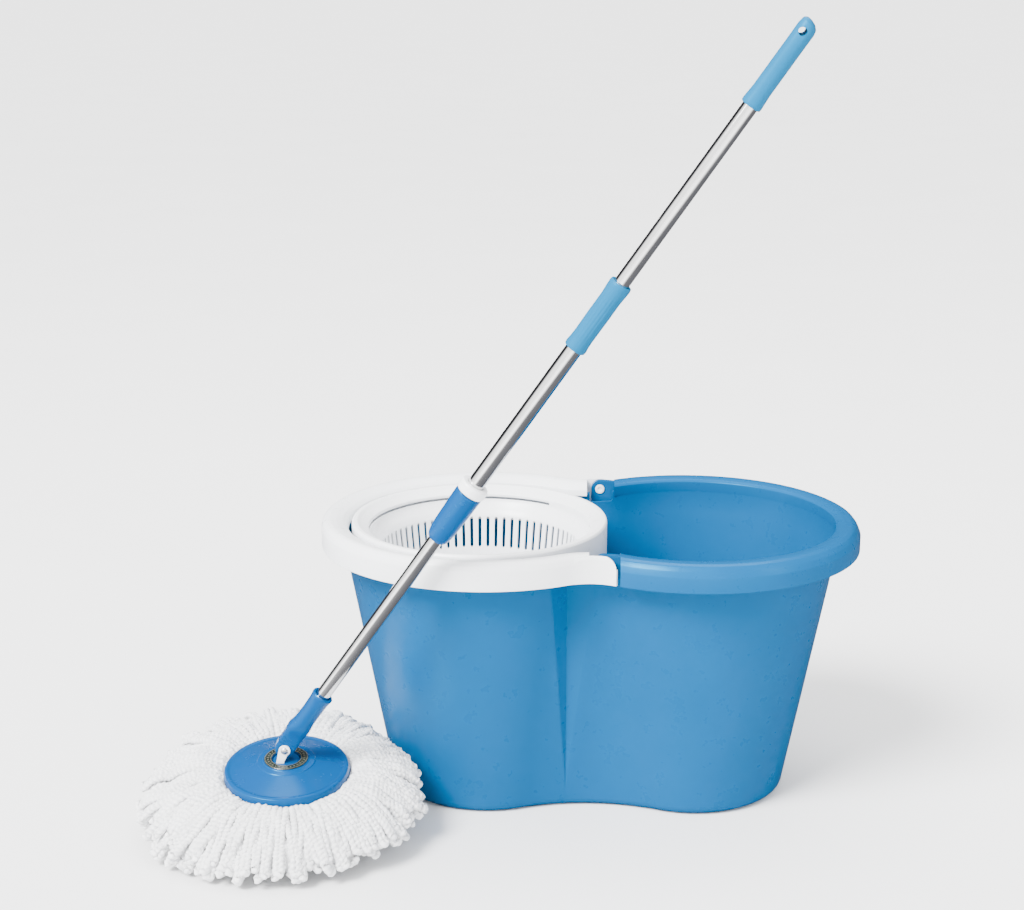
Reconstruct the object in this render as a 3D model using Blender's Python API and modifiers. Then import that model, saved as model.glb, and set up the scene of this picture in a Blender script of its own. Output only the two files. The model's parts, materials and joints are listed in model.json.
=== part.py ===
"""Spin mop set: a waisted bucket with a spin basket and a carry handle, and a press-to-spin mop that
stands beside it. Metres, +Z up. The origin is the middle of the bucket's underside, +X runs along the
bucket from the basket to the water side, and -Y is the side that the mop stands on."""

import math

import bmesh
import bpy
from mathutils import Matrix, Vector

GAP = 0.0003

# Bucket: two round lobes on the X axis, joined by a waist.
LOBE_X = 0.0965
RIM_R = 0.1535
RIM_WAIST = 0.128
BASE_R = 0.088
BASE_WAIST = 0.0685
WALL_TOP_R = 0.1325
WALL_TOP_WAIST = 0.107
WALL = 0.0021
SKIRT_Z = 0.2365
LIP_Z = 0.2535
RIM_Z = 0.2625
FLOOR_Z = 0.0045
BASE_ROUND = 0.0075
JOIN_X = 0.052
GROOVE_X = -0.021
GROOVE_LEFT = 0.0145
GROOVE_RIGHT = 0.0265
GROOVE_DEPTH = 0.009
GROOVE_TIP_Z = 0.02
GROOVE_END_Z = 0.2475
RIM_END_X = 0.0252

# Carry handle: an inverted channel that lies on the rim round the basket.
PIVOT_X = 0.0110
PIVOT_Z = 0.2532
BAND_W = 0.0253
BAND_T = 0.0026
ARM_INNER_END_X = -0.0020
ARM_END_X = 0.0215
ARM_ROUND = 0.0105
LUG_R = 0.0092
LUG_IN_Y = 0.1130
LUG_OUT_Y = 0.1243
STUD_R = 0.0045

# Spin basket and its spindle.
BASKET_X = -0.103
BASKET_R = 0.119
BASKET_TOP_Z = 0.2584
BASKET_SKIRT_Z = 0.222
RISER_R = 0.103
BASKET_FLOOR_Z = 0.1352
HUB_R = 0.012
HUB_BORE_R = 0.008
SLOTS = 36
AXLE_R = 0.004

# Mop head: its frame has its origin on the rivet and +Z square to the plate.
RIVET = (-0.2702, -0.1385, 0.0853)
HEAD_TILT = math.radians(8.0)
POLE_LEAN = math.radians(33.94)
PLATE_R = 0.0562
PLATE_RIM = -0.020
PLATE_TOP = -0.0122
PLATE_SKIRT = -0.029
PLATE_T = 0.0020
HUB_HOLE_R = 0.0125
RIVET_R = 0.0024
BOSS_HALF = 0.0058
BOSS_R = 0.0088
STRANDS_R = 0.1200
STRANDS_TOP = -0.0338
STRANDS_BASE = -0.0690

# Pole: distances along it from the rivet.
LOWER_R = 0.0064
OUTER_R = 0.0073
UPPER_R = 0.0065
TUBE_T = 0.0006
LOWER_START = 0.030
LOWER_END = 0.335
OUTER_START = 0.262
OUTER_END = 0.508
UPPER_START = 0.4285
UPPER_END = 0.742
SOCKET_TOP = 0.064
LOCK_START = 0.2475
LOCK_END = 0.299
COLLAR_END = 0.3070
MID_START = 0.4544
MID_END = 0.5212
GRIP_START = 0.694
GRIP_END = 0.775
HANG_S = 0.7625
HANG_R = 0.0033
ROD_PITCH = 0.050
ROD_W = 0.0046
ROD_T = 0.0014
ROD_START = 0.175
ROD_END = 0.4185
ROD_HOLE_R = 0.0029
NUT_S = 0.320
NUT_T = 0.003

BLUE = (0.0, 0.36, 0.80)
CYAN = (0.03, 0.50, 0.93)
PLATE_BLUE = (0.0, 0.25, 0.78)
WHITE = (0.87, 0.88, 0.90)
STEEL = (0.62, 0.63, 0.65)
DARK = (0.03, 0.035, 0.03)
FIBRE = (0.90, 0.90, 0.89)


def clear_scene():
    for obj in list(bpy.data.objects):
        bpy.data.objects.remove(obj, do_unlink=True)


def collection(name):
    made = bpy.data.collections.new(name)
    bpy.context.scene.collection.children.link(made)
    return made


def material(name, colour, roughness, metallic=0.0):
    made = bpy.data.materials.new(name)
    made.use_nodes = True
    shader = made.node_tree.nodes["Principled BSDF"]
    shader.inputs["Base Color"].default_value = (*colour, 1.0)
    shader.inputs["Roughness"].default_value = roughness
    shader.inputs["Metallic"].default_value = metallic
    return made


clear_scene()
PARTS = collection("spin_mop")
CUTTERS = collection("cutters")
MATERIALS = {
    "bucket_blue": material("bucket_blue", BLUE, 0.35),
    "grip_cyan": material("grip_cyan", CYAN, 0.4),
    "plate_blue": material("plate_blue", PLATE_BLUE, 0.3),
    "white_plastic": material("white_plastic", WHITE, 0.35),
    "steel": material("steel", STEEL, 0.2, 1.0),
    "dark_trim": material("dark_trim", DARK, 0.4),
    "fibre": material("fibre", FIBRE, 0.95),
}


def empty(name, location, rotation=(0.0, 0.0, 0.0), parent=None):
    made = bpy.data.objects.new(name, None)
    PARTS.objects.link(made)
    made.location = location
    made.rotation_euler = rotation
    made.parent = parent
    return made


def from_bmesh(name, bm, parent=None, slot=None, smooth=True):
    """An object from a bmesh: a part where a slot is given, otherwise a hidden cutter."""
    bmesh.ops.recalc_face_normals(bm, faces=bm.faces[:])
    mesh = bpy.data.meshes.new(name)
    bm.to_mesh(mesh)
    bm.free()
    made = bpy.data.objects.new(name, mesh)
    made.parent = parent
    if slot is None:
        CUTTERS.objects.link(made)
        made.hide_render = True
        made.display_type = "WIRE"
        return made
    PARTS.objects.link(made)
    mesh.materials.append(MATERIALS[slot])
    if smooth:
        mesh.shade_smooth()
        mesh.set_sharp_from_angle(angle=math.radians(35))
    return made


def turned(name, profile, parent=None, slot=None, steps=28, ring=False):
    """A turned shape round the parent's Z. The (radius, height) profile runs down its outer side; a ring
    profile closes on itself, and any other starts and ends on the axis."""
    mesh = bpy.data.meshes.new(name)
    count = len(profile)
    edges = [(i, i + 1) for i in range(count - 1)]
    if ring:
        edges.append((count - 1, 0))
    mesh.from_pydata([(r, 0.0, z) for r, z in profile], edges, [])
    made = bpy.data.objects.new(name, mesh)
    made.parent = parent
    if slot is None:
        CUTTERS.objects.link(made)
        made.hide_render = True
        made.display_type = "WIRE"
    else:
        PARTS.objects.link(made)
        mesh.materials.append(MATERIALS[slot])
    screw = made.modifiers.new("turn", "SCREW")
    screw.steps = steps
    screw.render_steps = steps
    screw.use_merge_vertices = True
    screw.merge_threshold = 0.00001
    screw.use_smooth_shade = True
    return made


def tube_profile(outer, inner, low, high):
    return [(inner, high), (outer, high), (outer, low), (inner, low)]


def box(name, low, high, parent=None, slot=None, turn=None):
    bm = bmesh.new()
    bmesh.ops.create_cube(bm, size=1.0)
    size = [b - a for a, b in zip(low, high)]
    middle = [(a + b) / 2 for a, b in zip(low, high)]
    bmesh.ops.scale(bm, vec=size, verts=bm.verts)
    bmesh.ops.translate(bm, vec=middle, verts=bm.verts)
    if turn is not None:
        bmesh.ops.transform(bm, matrix=turn, verts=bm.verts)
    return from_bmesh(name, bm, parent, slot, smooth=False)


def cross_cylinder(name, radius, low_y, high_y, x, z, parent=None, slot=None, segments=24):
    """A cylinder along Y."""
    bm = bmesh.new()
    bmesh.ops.create_cone(
        bm, cap_ends=True, segments=segments, radius1=radius, radius2=radius, depth=high_y - low_y
    )
    place = Matrix.Translation((x, (low_y + high_y) / 2, z)) @ Matrix.Rotation(math.pi / 2, 4, "X")
    bmesh.ops.transform(bm, matrix=place, verts=bm.verts)
    return from_bmesh(name, bm, parent, slot)


def boolean(target, other, operation):
    added = target.modifiers.new(other.name, "BOOLEAN")
    added.operation = operation
    added.solver = "EXACT"
    added.object = other
    other.hide_render = True
    other.display_type = "WIRE"
    return target


def loft(name, rings, slot=None, parent=None):
    """A closed body through sections with equal numbers of points, capped at both ends."""
    bm = bmesh.new()
    rows = [[bm.verts.new(point) for point in ring] for ring in rings]
    count = len(rings[0])
    for lower, upper in zip(rows, rows[1:]):
        for i in range(count):
            j = (i + 1) % count
            bm.faces.new((lower[i], lower[j], upper[j], upper[i]))
    bm.faces.new(rows[0])
    bm.faces.new(rows[-1])
    return from_bmesh(name, bm, parent, slot)


# ---------------------------------------------------------------- bucket


def waist_fillet(lobe_r, waist):
    """Radius of the concave arc that touches both lobes, and the X where it meets them."""
    fillet = (LOBE_X**2 + waist**2 - lobe_r**2) / (2 * (lobe_r - waist))
    meet = LOBE_X - lobe_r * math.cos(math.atan2(waist + fillet, LOBE_X))
    return fillet, meet


def half_depth(x, lobe_r, waist):
    """Half of the outline's depth in Y at this X, near the waist."""
    fillet, meet = waist_fillet(lobe_r, waist)
    if abs(x) < meet:
        return waist + fillet - math.sqrt(fillet**2 - x**2)
    return math.sqrt(lobe_r**2 - (LOBE_X - abs(x)) ** 2)


def outward(x, lobe_r, waist):
    """The outline's unit normal at this X on the back, near the waist."""
    fillet, meet = waist_fillet(lobe_r, waist)
    y = half_depth(x, lobe_r, waist)
    if abs(x) < meet:
        return Vector((-x / fillet, (waist + fillet - y) / fillet))
    return Vector(((x - math.copysign(LOBE_X, x)) / lobe_r, y / lobe_r))


def waist_stations(depth_share):
    """(x, groove depth) across the waist. The groove's shoulders draw together as it runs out."""
    share = max(depth_share, 0.03)
    left = GROOVE_X - GROOVE_LEFT * share
    right = GROOVE_X + GROOVE_RIGHT * share
    deep = GROOVE_DEPTH * max(depth_share, 0.0)
    return [
        (-JOIN_X, 0.0),
        (-0.044, 0.0),
        (left, 0.0),
        ((left + GROOVE_X) / 2, deep * 0.55),
        (GROOVE_X, deep),
        ((right + GROOVE_X) / 2, deep * 0.52),
        (right, 0.0),
        (0.018, 0.0),
        (0.030, 0.0),
        (0.042, 0.0),
        (JOIN_X, 0.0),
    ]


def outline(z, lobe_r, waist):
    """One closed section of the tub, anticlockwise from the front of the waist."""
    below = (z - GROOVE_TIP_Z) / (SKIRT_Z - GROOVE_TIP_Z)
    above = (GROOVE_END_Z - z) / (GROOVE_END_Z - SKIRT_Z)
    stations = waist_stations(min(below, above))
    front = [(x, deep - half_depth(x, lobe_r, waist)) for x, deep in stations]
    back = [(x, half_depth(x, lobe_r, waist) - deep) for x, deep in reversed(stations)]
    reach = math.atan2(half_depth(JOIN_X, lobe_r, waist), JOIN_X - LOBE_X)
    steps = 24
    right = []
    left = []
    for i in range(1, steps):
        angle = -reach + 2 * reach * i / steps
        right.append((LOBE_X + lobe_r * math.cos(angle), lobe_r * math.sin(angle)))
        left.append((-LOBE_X - lobe_r * math.cos(angle), -lobe_r * math.sin(angle)))
    return [Vector((x, y, z)) for x, y in front + right + back + left]


def wall_section(z, inset):
    share = z / SKIRT_Z
    lobe_r = BASE_R + (WALL_TOP_R - BASE_R) * share - inset
    waist = BASE_WAIST + (WALL_TOP_WAIST - BASE_WAIST) * share - inset
    return outline(z, lobe_r, waist)


def tub_sections():
    """From the underside up the outside, over the lip and down the inside to the floor."""
    sections = [
        wall_section(0.0, BASE_ROUND),
        wall_section(BASE_ROUND * 0.13, BASE_ROUND * 0.5),
        wall_section(BASE_ROUND * 0.5, BASE_ROUND * 0.13),
        wall_section(BASE_ROUND, 0.0),
    ]
    heights = [0.065, 0.122, 0.180, SKIRT_Z]
    sections += [wall_section(z, 0.0) for z in heights]
    lip_out = (WALL_TOP_R + 0.0007, WALL_TOP_WAIST + 0.0007)
    lip_in = (lip_out[0] - WALL, lip_out[1] - WALL)
    sections += [outline(GROOVE_END_Z, *lip_out), outline(LIP_Z, *lip_out)]
    sections += [outline(LIP_Z, *lip_in), outline(GROOVE_END_Z, *lip_in)]
    sections += [wall_section(z, WALL) for z in reversed(heights)]
    sections.append(wall_section(FLOOR_Z + 0.006, WALL))
    sections.append(wall_section(FLOOR_Z + 0.0015, WALL + 0.0015))
    sections.append(wall_section(FLOOR_Z, WALL + 0.006))
    return sections


def rim_profile():
    """(offset inwards from the rim's outline, z) of the rolled rim, which grows out of the lip."""
    return [
        (0.0, SKIRT_Z),
        (0.0, 0.2505),
        (0.0022, 0.2560),
        (0.0050, 0.2595),
        (0.0085, 0.2612),
        (0.0150, 0.2610),
        (0.0200, 0.2600),
        (0.0225, 0.2580),
        (0.0225, 0.2480),
        (0.0200, 0.2480),
        (0.0197, 0.2568),
        (0.0150, 0.2584),
        (0.0090, 0.2586),
        (0.0062, 0.2572),
        (0.0040, 0.2540),
        (BAND_T, 0.2500),
        (BAND_T, SKIRT_Z),
    ]


def rim_arc():
    """The rolled rim round the water side, a little way past the lugs."""
    steps = 30
    rings = []
    for i in range(steps + 1):
        ring = []
        for inset, z in rim_profile():
            r = RIM_R - inset
            reach = math.acos((RIM_END_X - LOBE_X) / r)
            angle = -reach + 2 * reach * i / steps
            ring.append(Vector((LOBE_X + r * math.cos(angle), r * math.sin(angle), z)))
        rings.append(ring)
    return loft("rim_arc", rings)


def lug_pieces(side):
    """The eye that carries a handle stud, and the block that ties it to the rim. side is +1 at the back."""
    low, high = sorted((side * LUG_IN_Y, side * LUG_OUT_Y))
    tag = "back" if side > 0 else "front"
    foot_z = PIVOT_Z - LUG_R - 0.0010
    return [
        cross_cylinder("lug_eye_" + tag, LUG_R, low, high, PIVOT_X, PIVOT_Z),
        box(
            "lug_block_" + tag,
            (PIVOT_X, low + 0.0002, foot_z + 0.0003),
            (RIM_END_X + 0.006, high - 0.0002, RIM_Z - 0.0020),
        ),
        box(
            "lug_foot_" + tag,
            (PIVOT_X - LUG_R + 0.0007, low + 0.0001, foot_z),
            (PIVOT_X + 0.002, high - 0.0001, PIVOT_Z),
        ),
    ]


def lip_notch(side):
    """Opens the lip in front of the lug, so that the stud's end is not buried in the wall."""
    low, high = sorted((side * 0.095, side * (LUG_IN_Y - 0.0002)))
    return box(
        "lip_notch_" + ("back" if side > 0 else "front"),
        (PIVOT_X - LUG_R - 0.0012, low, PIVOT_Z - LUG_R),
        (PIVOT_X + LUG_R + 0.0032, high, RIM_Z + 0.01),
    )


def make_bucket():
    bucket = loft("bucket", tub_sections(), "bucket_blue")
    boolean(bucket, rim_arc(), "UNION")
    for side in (1, -1):
        for piece in lug_pieces(side):
            boolean(bucket, piece, "UNION")
        boolean(bucket, lip_notch(side), "DIFFERENCE")
    low, high = -RIM_WAIST - 0.01, RIM_WAIST + 0.01
    bore = cross_cylinder("stud_bores", STUD_R + GAP, low, high, PIVOT_X, PIVOT_Z)
    return boolean(bucket, bore, "DIFFERENCE")


# ---------------------------------------------------------------- carry handle


def band_profile():
    """(offset inwards from the rim's outline, z) of the channel, whose roof slopes down inwards."""
    inner = BAND_W
    return [
        (0.0, SKIRT_Z),
        (0.0, 0.2545),
        (0.0014, 0.2590),
        (0.0045, 0.2615),
        (0.0080, 0.2622),
        (0.0140, 0.2612),
        (0.0200, 0.2590),
        (inner - 0.0018, 0.2560),
        (inner, 0.2500),
        (inner - 0.0018, 0.2500),
        (inner - 0.0024, 0.2543),
        (0.0188, 0.2566),
        (0.0135, 0.2587),
        (0.0080, 0.2597),
        (0.0056, 0.2590),
        (0.0038, 0.2572),
        (BAND_T + 0.0002, 0.2535),
        (BAND_T, SKIRT_Z),
    ]


def band_path():
    """(point, outward normal) along the rim's outline, from the back arm round the basket to the front."""
    fillet, meet = waist_fillet(RIM_R, RIM_WAIST)
    stations = [ARM_END_X, 0.0180, 0.0135, 0.007, 0.0, -0.007, -0.0135, -0.0180, -meet]
    back = []
    for x in stations:
        back.append((Vector((x, half_depth(x, RIM_R, RIM_WAIST))), outward(x, RIM_R, RIM_WAIST)))
    start = math.atan2(RIM_WAIST + fillet, LOBE_X)
    steps = 24
    lobe = []
    for i in range(1, steps):
        angle = start + (2 * math.pi - 2 * start) * i / steps
        normal = Vector((math.cos(angle), math.sin(angle)))
        lobe.append((Vector((-LOBE_X, 0.0)) + normal * RIM_R, normal))
    front = []
    for point, normal in reversed(back):
        front.append((Vector((point.x, -point.y)), Vector((normal.x, -normal.y))))
    return back + lobe + front


def arm_relief():
    """Takes the channel's top and inner wall away beside the lugs, and leaves the outer plate."""
    inset = BAND_T + 0.0004
    xs = [ARM_INNER_END_X, 0.007, 0.0135, 0.0205, 0.028, 0.040]
    back = []
    for x in xs:
        normal = outward(x, RIM_R, RIM_WAIST)
        back.append(Vector((x, half_depth(x, RIM_R, RIM_WAIST))) - normal * inset)
    back[0].x = ARM_INNER_END_X
    loop = back + [Vector((p.x, -p.y)) for p in reversed(back)]
    rings = [[Vector((p.x, p.y, z)) for p in loop] for z in (SKIRT_Z - 0.02, RIM_Z + 0.02)]
    return loft("arm_relief", rings)


def arm_rounding():
    """Rounds the arms' ends about the pivot, so that they turn clear of the rim."""
    steps = 8
    corner = ARM_ROUND + 0.012
    loop = []
    for i in range(steps + 1):
        angle = math.pi / 2 * (1 - i / steps)
        loop.append((PIVOT_X + ARM_ROUND * math.cos(angle), PIVOT_Z + ARM_ROUND * math.sin(angle)))
    loop += [(PIVOT_X + corner, PIVOT_Z), (PIVOT_X + corner, PIVOT_Z + corner), (PIVOT_X, PIVOT_Z + corner)]
    reach = RIM_R + 0.01
    rings = [[Vector((x, y, z)) for x, z in loop] for y in (-reach, reach)]
    return loft("arm_rounding", rings)


def make_carry_handle():
    """Its origin is on the pivot axis, so its mesh is built about the pivot."""
    rings = []
    for point, normal in band_path():
        ring = []
        for inset, z in band_profile():
            p = point - normal * inset
            ring.append(Vector((p.x, p.y, z)))
        rings.append(ring)
    handle = loft("carry_handle", rings, "white_plastic")
    boolean(handle, arm_relief(), "DIFFERENCE")
    boolean(handle, arm_rounding(), "DIFFERENCE")
    outer = half_depth(PIVOT_X, RIM_R, RIM_WAIST) - BAND_T / 2
    for side in (1, -1):
        low, high = sorted((side * (LUG_IN_Y - 0.0010), side * outer))
        tag = "back" if side > 0 else "front"
        stud = cross_cylinder("stud_" + tag, STUD_R, low, high, PIVOT_X, PIVOT_Z)
        boolean(handle, stud, "UNION")
    pivot = empty("handle_pivot", (PIVOT_X, 0.0, PIVOT_Z))
    handle.parent = pivot
    handle.matrix_parent_inverse = Matrix.Translation((-PIVOT_X, 0.0, -PIVOT_Z))
    return handle


# ---------------------------------------------------------------- basket and spindle


def basket_profile():
    top = BASKET_TOP_Z
    floor = BASKET_FLOOR_Z
    return [
        (0.1180, top),
        (BASKET_R, top - 0.0024),
        (BASKET_R, BASKET_SKIRT_Z),
        (BASKET_R - 0.0018, BASKET_SKIRT_Z),
        (BASKET_R - 0.0020, top - 0.0060),
        (0.1120, top - 0.0058),
        (RISER_R + 0.0022, 0.2500),
        (RISER_R + 0.0020, 0.2440),
        (0.0945, 0.2308),
        (0.0905, 0.2000),
        (0.0880, 0.1500),
        (0.0840, floor - 0.0022),
        (HUB_R, floor - 0.0022),
        (HUB_R, 0.1200),
        (HUB_BORE_R, 0.1200),
        (HUB_BORE_R, 0.1460),
        (HUB_R, 0.1460),
        (HUB_R, floor),
        (0.0826, floor),
        (0.0859, 0.1508),
        (0.0885, 0.2000),
        (0.0924, 0.2325),
        (RISER_R, 0.2455),
        (RISER_R, 0.2515),
        (0.1105, 0.2562),
        (0.1135, top),
    ]


def slot_cutters(name, radius, low, high, width, phase):
    bm = bmesh.new()
    for i in range(SLOTS):
        cube = bmesh.ops.create_cube(bm, size=1.0)["verts"]
        bmesh.ops.scale(bm, vec=(0.014, width, high - low), verts=cube)
        bmesh.ops.translate(bm, vec=(radius, 0.0, (low + high) / 2), verts=cube)
        angle = 2 * math.pi * (i + phase) / SLOTS
        bmesh.ops.rotate(bm, matrix=Matrix.Rotation(angle, 3, "Z"), verts=cube)
    return from_bmesh(name, bm)


def overflow_cutter(name, start, end):
    """A long curved slot in the riser."""
    steps = 12
    rings = []
    for i in range(steps + 1):
        angle = math.radians(start + (end - start) * i / steps)
        ring = []
        for r, z in ((0.1010, 0.2478), (0.1068, 0.2478), (0.1068, 0.2502), (0.1010, 0.2502)):
            ring.append(Vector((r * math.cos(angle), r * math.sin(angle), z)))
        rings.append(ring)
    return loft(name, rings)


def make_basket():
    axis = empty("basket_axis", (BASKET_X, 0.0, 0.0))
    basket = turned("basket", basket_profile(), axis, "white_plastic", steps=SLOTS, ring=True)
    cutters = [
        slot_cutters("slots_upper", 0.0910, 0.2015, 0.2300, 0.0052, 0.5),
        slot_cutters("slots_lower", 0.0880, 0.1600, 0.1940, 0.0050, 0.5),
        overflow_cutter("overflow_back", 51, 186),
        overflow_cutter("overflow_front", 231, 366),
    ]
    for cutter in cutters:
        cutter.parent = axis
        boolean(basket, cutter, "DIFFERENCE")
    cap_z = BASKET_FLOOR_Z + GAP
    cap = [
        (0.0, 0.1545),
        (0.0100, 0.1535),
        (0.0150, 0.1500),
        (0.0172, cap_z),
        (HUB_R + 0.0006, cap_z),
        (HUB_R + 0.0006, 0.1490),
        (0.0, 0.1500),
    ]
    turned("hub_cap", cap, axis, "white_plastic")
    bush = tube_profile(HUB_BORE_R - GAP, AXLE_R + 0.0002, 0.1205, 0.1455)
    turned("axle_bush", bush, axis, "dark_trim", ring=True)
    return axis


def make_spindle():
    axis = empty("spindle", (BASKET_X, 0.0, 0.0))
    bore = AXLE_R + GAP
    post = [
        (0.0, 0.0880),
        (bore, 0.0880),
        (bore, 0.1160),
        (0.0095, 0.1160),
        (0.0112, 0.1100),
        (0.0135, 0.0300),
        (0.0190, 0.0120),
        (0.0290, 0.0082),
        (0.0310, 0.0068),
        (0.0310, FLOOR_Z + GAP),
        (0.0, FLOOR_Z + GAP),
    ]
    turned("spindle_post", post, axis, "white_plastic")
    axle = [(0.0, 0.1482), (AXLE_R - 0.0008, 0.1482), (AXLE_R, 0.1474), (AXLE_R, 0.0884), (0.0, 0.0884)]
    turned("spindle_axle", axle, axis, "steel", steps=24)
    washer = tube_profile(0.0100, AXLE_R + GAP, 0.1165, 0.1185)
    turned("thrust_washer", washer, axis, "steel", ring=True)


# ---------------------------------------------------------------- mop head


def make_plate(head):
    """Domed plate with a raised edge, a skirt and a sleeve round the hub."""
    t = PLATE_T
    profile = [
        (HUB_HOLE_R, PLATE_TOP),
        (0.0205, PLATE_TOP),
        (0.0260, PLATE_TOP - 0.0010),
        (0.0505, PLATE_RIM - 0.0006),
        (0.0530, PLATE_RIM),
        (0.0552, PLATE_RIM - 0.0010),
        (PLATE_R, PLATE_RIM - 0.0030),
        (PLATE_R, PLATE_SKIRT),
        (PLATE_R - t, PLATE_SKIRT),
        (PLATE_R - t, PLATE_RIM - 0.0032),
        (0.0500, PLATE_RIM - t - 0.0010),
        (0.0260, PLATE_TOP - t - 0.0012),
        (HUB_HOLE_R + t, PLATE_TOP - t),
        (HUB_HOLE_R + t, -0.0242),
        (HUB_HOLE_R, -0.0242),
    ]
    turned("mop_plate", profile, head, "plate_blue", steps=40, ring=True)
    trim = [
        (0.0134, PLATE_TOP + 0.0009),
        (0.0190, PLATE_TOP + 0.0009),
        (0.0198, PLATE_TOP + GAP),
        (0.0128, PLATE_TOP + GAP),
    ]
    turned("trim_ring", trim, head, "dark_trim", steps=40, ring=True)
    refill = [
        (0.0320, -0.0262),
        (0.0525, -0.0262),
        (0.0535, -0.0272),
        (0.0535, -0.0300),
        (0.0320, -0.0300),
    ]
    turned("refill_ring", refill, head, "white_plastic", steps=36, ring=True)


def make_hub_and_fork(head):
    """The hub turns in the plate's sleeve, and the fork stands in its pocket and carries the rivet."""
    hub = [
        (0.0, PLATE_TOP - 0.0004),
        (0.0114, PLATE_TOP - 0.0004),
        (HUB_HOLE_R - GAP, PLATE_TOP - 0.0014),
        (HUB_HOLE_R - GAP, -0.0246),
        (0.0150, -0.0246),
        (0.0150, -0.0258),
        (0.0, -0.0258),
    ]
    made = turned("swivel_hub", hub, head, "plate_blue")
    pocket_x = -0.0048
    arm_in = BOSS_HALF + 0.0004
    arm_out = arm_in + 0.0016
    low, high = (pocket_x - 0.0033, -arm_out - GAP, -0.0190), (pocket_x + 0.0033, arm_out + GAP, -0.010)
    boolean(made, box("fork_pocket", low, high, head), "DIFFERENCE")
    slant = math.atan2(-pocket_x, -0.0120)
    low, high = (pocket_x - 0.0030, -arm_out, -0.0187), (pocket_x + 0.0030, arm_out, -0.0125)
    fork = box("fork", low, high, head, "white_plastic")
    for side in (1, -1):
        low, high = sorted((side * arm_in, side * arm_out))
        tag = "back" if side > 0 else "front"
        eye = cross_cylinder("fork_eye_" + tag, 0.0047, low, high, 0.0, 0.0, head)
        lean = Matrix.Rotation(-slant, 4, "Y")
        foot, top = (-0.0030, low + 0.00005, 0.0), (0.0030, high - 0.00005, 0.0145)
        arm = box("fork_arm_" + tag, foot, top, head, turn=lean)
        boolean(fork, eye, "UNION")
        boolean(fork, arm, "UNION")
    throat = box("fork_throat", (-0.0160, -arm_in, -0.0130), (0.0160, arm_in, 0.0100), head)
    boolean(fork, throat, "DIFFERENCE")
    hole = cross_cylinder("fork_hole", RIVET_R + GAP, -0.012, 0.012, 0.0, 0.0, head)
    boolean(fork, hole, "DIFFERENCE")
    rivet = cross_cylinder("pivot_rivet", RIVET_R, -arm_out - 0.0008, arm_out + 0.0008, 0.0, 0.0, head, "steel")
    for side in (1, -1):
        low, high = sorted((side * (arm_out + GAP), side * (arm_out + 0.0016)))
        tag = "back" if side > 0 else "front"
        boolean(rivet, cross_cylinder("rivet_head_" + tag, 0.0034, low, high, 0.0, 0.0, head), "UNION")


def make_strands(head):
    """The tufts as one plain solid, spread out in the plate's own plane and turned about its axis."""
    profile = [
        (0.0, STRANDS_TOP),
        (0.0545, STRANDS_TOP),
        (0.0630, -0.0266),
        (0.0760, -0.0290),
        (0.0900, -0.0335),
        (0.1030, -0.0390),
        (0.1130, -0.0440),
        (STRANDS_R, -0.0490),
        (STRANDS_R - 0.0015, STRANDS_BASE),
        (0.0, STRANDS_BASE),
    ]
    return turned("strands", profile, head, "fibre", 48)


def make_socket(pole):
    """Lower joint socket: a boss on the rivet, a waisted body and a sleeve that holds the lower tube."""
    bore = LOWER_R + GAP
    sleeve = [
        (0.0, LOWER_START - 0.0006),
        (bore, LOWER_START - 0.0006),
        (bore, SOCKET_TOP),
        (0.0093, SOCKET_TOP),
        (0.0097, SOCKET_TOP - 0.0015),
        (0.0088, SOCKET_TOP - 0.0050),
        (0.0087, 0.0340),
        (0.0098, 0.0240),
        (0.0098, 0.0190),
        (0.0, 0.0190),
    ]
    socket = turned("joint_socket", sleeve, pole, "plate_blue")
    body = box("socket_body", (-0.0096, -BOSS_HALF, 0.0), (0.0080, BOSS_HALF, 0.0215), pole)
    boss = cross_cylinder("socket_boss", BOSS_R, -BOSS_HALF - 0.00005, BOSS_HALF + 0.00005, 0.0, 0.0, pole)
    shoulder = cross_cylinder("socket_shoulder", 0.0062, -BOSS_HALF + 0.001, BOSS_HALF - 0.001, -0.0060, 0.0200, pole)
    for piece in (body, boss, shoulder):
        boolean(socket, piece, "UNION")
    boolean(socket, cross_cylinder("socket_bore", RIVET_R + 0.0002, -0.012, 0.012, 0.0, 0.0, pole), "DIFFERENCE")
    pin_s = 0.046
    hole = cross_cylinder("socket_pin_hole", 0.0015 + 0.0002, -0.012, 0.012, 0.0, pin_s, pole, segments=12)
    boolean(socket, hole, "DIFFERENCE")
    cross_cylinder("socket_pin", 0.0015, -0.0085, 0.0085, 0.0, pin_s, pole, "steel", segments=12)
    return hole


# ---------------------------------------------------------------- pole


def make_tubes(pole, pin_hole):
    lower = turned(
        "lower_tube", tube_profile(LOWER_R, LOWER_R - TUBE_T, LOWER_START, LOWER_END), pole, "steel", ring=True
    )
    boolean(lower, pin_hole, "DIFFERENCE")
    turned("outer_tube", tube_profile(OUTER_R, OUTER_R - TUBE_T, OUTER_START, OUTER_END), pole, "steel", ring=True)
    turned("upper_tube", tube_profile(UPPER_R, UPPER_R - TUBE_T, UPPER_START, UPPER_END), pole, "steel", ring=True)


def twisted_ring(s, half_w, half_t):
    turn = 2 * math.pi * s / ROD_PITCH
    ring = []
    for a, b in ((1, 1), (-1, 1), (-1, -1), (1, -1)):
        x, y = a * half_w, b * half_t
        ring.append(
            Vector((x * math.cos(turn) - y * math.sin(turn), x * math.sin(turn) + y * math.cos(turn), s))
        )
    return ring


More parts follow.
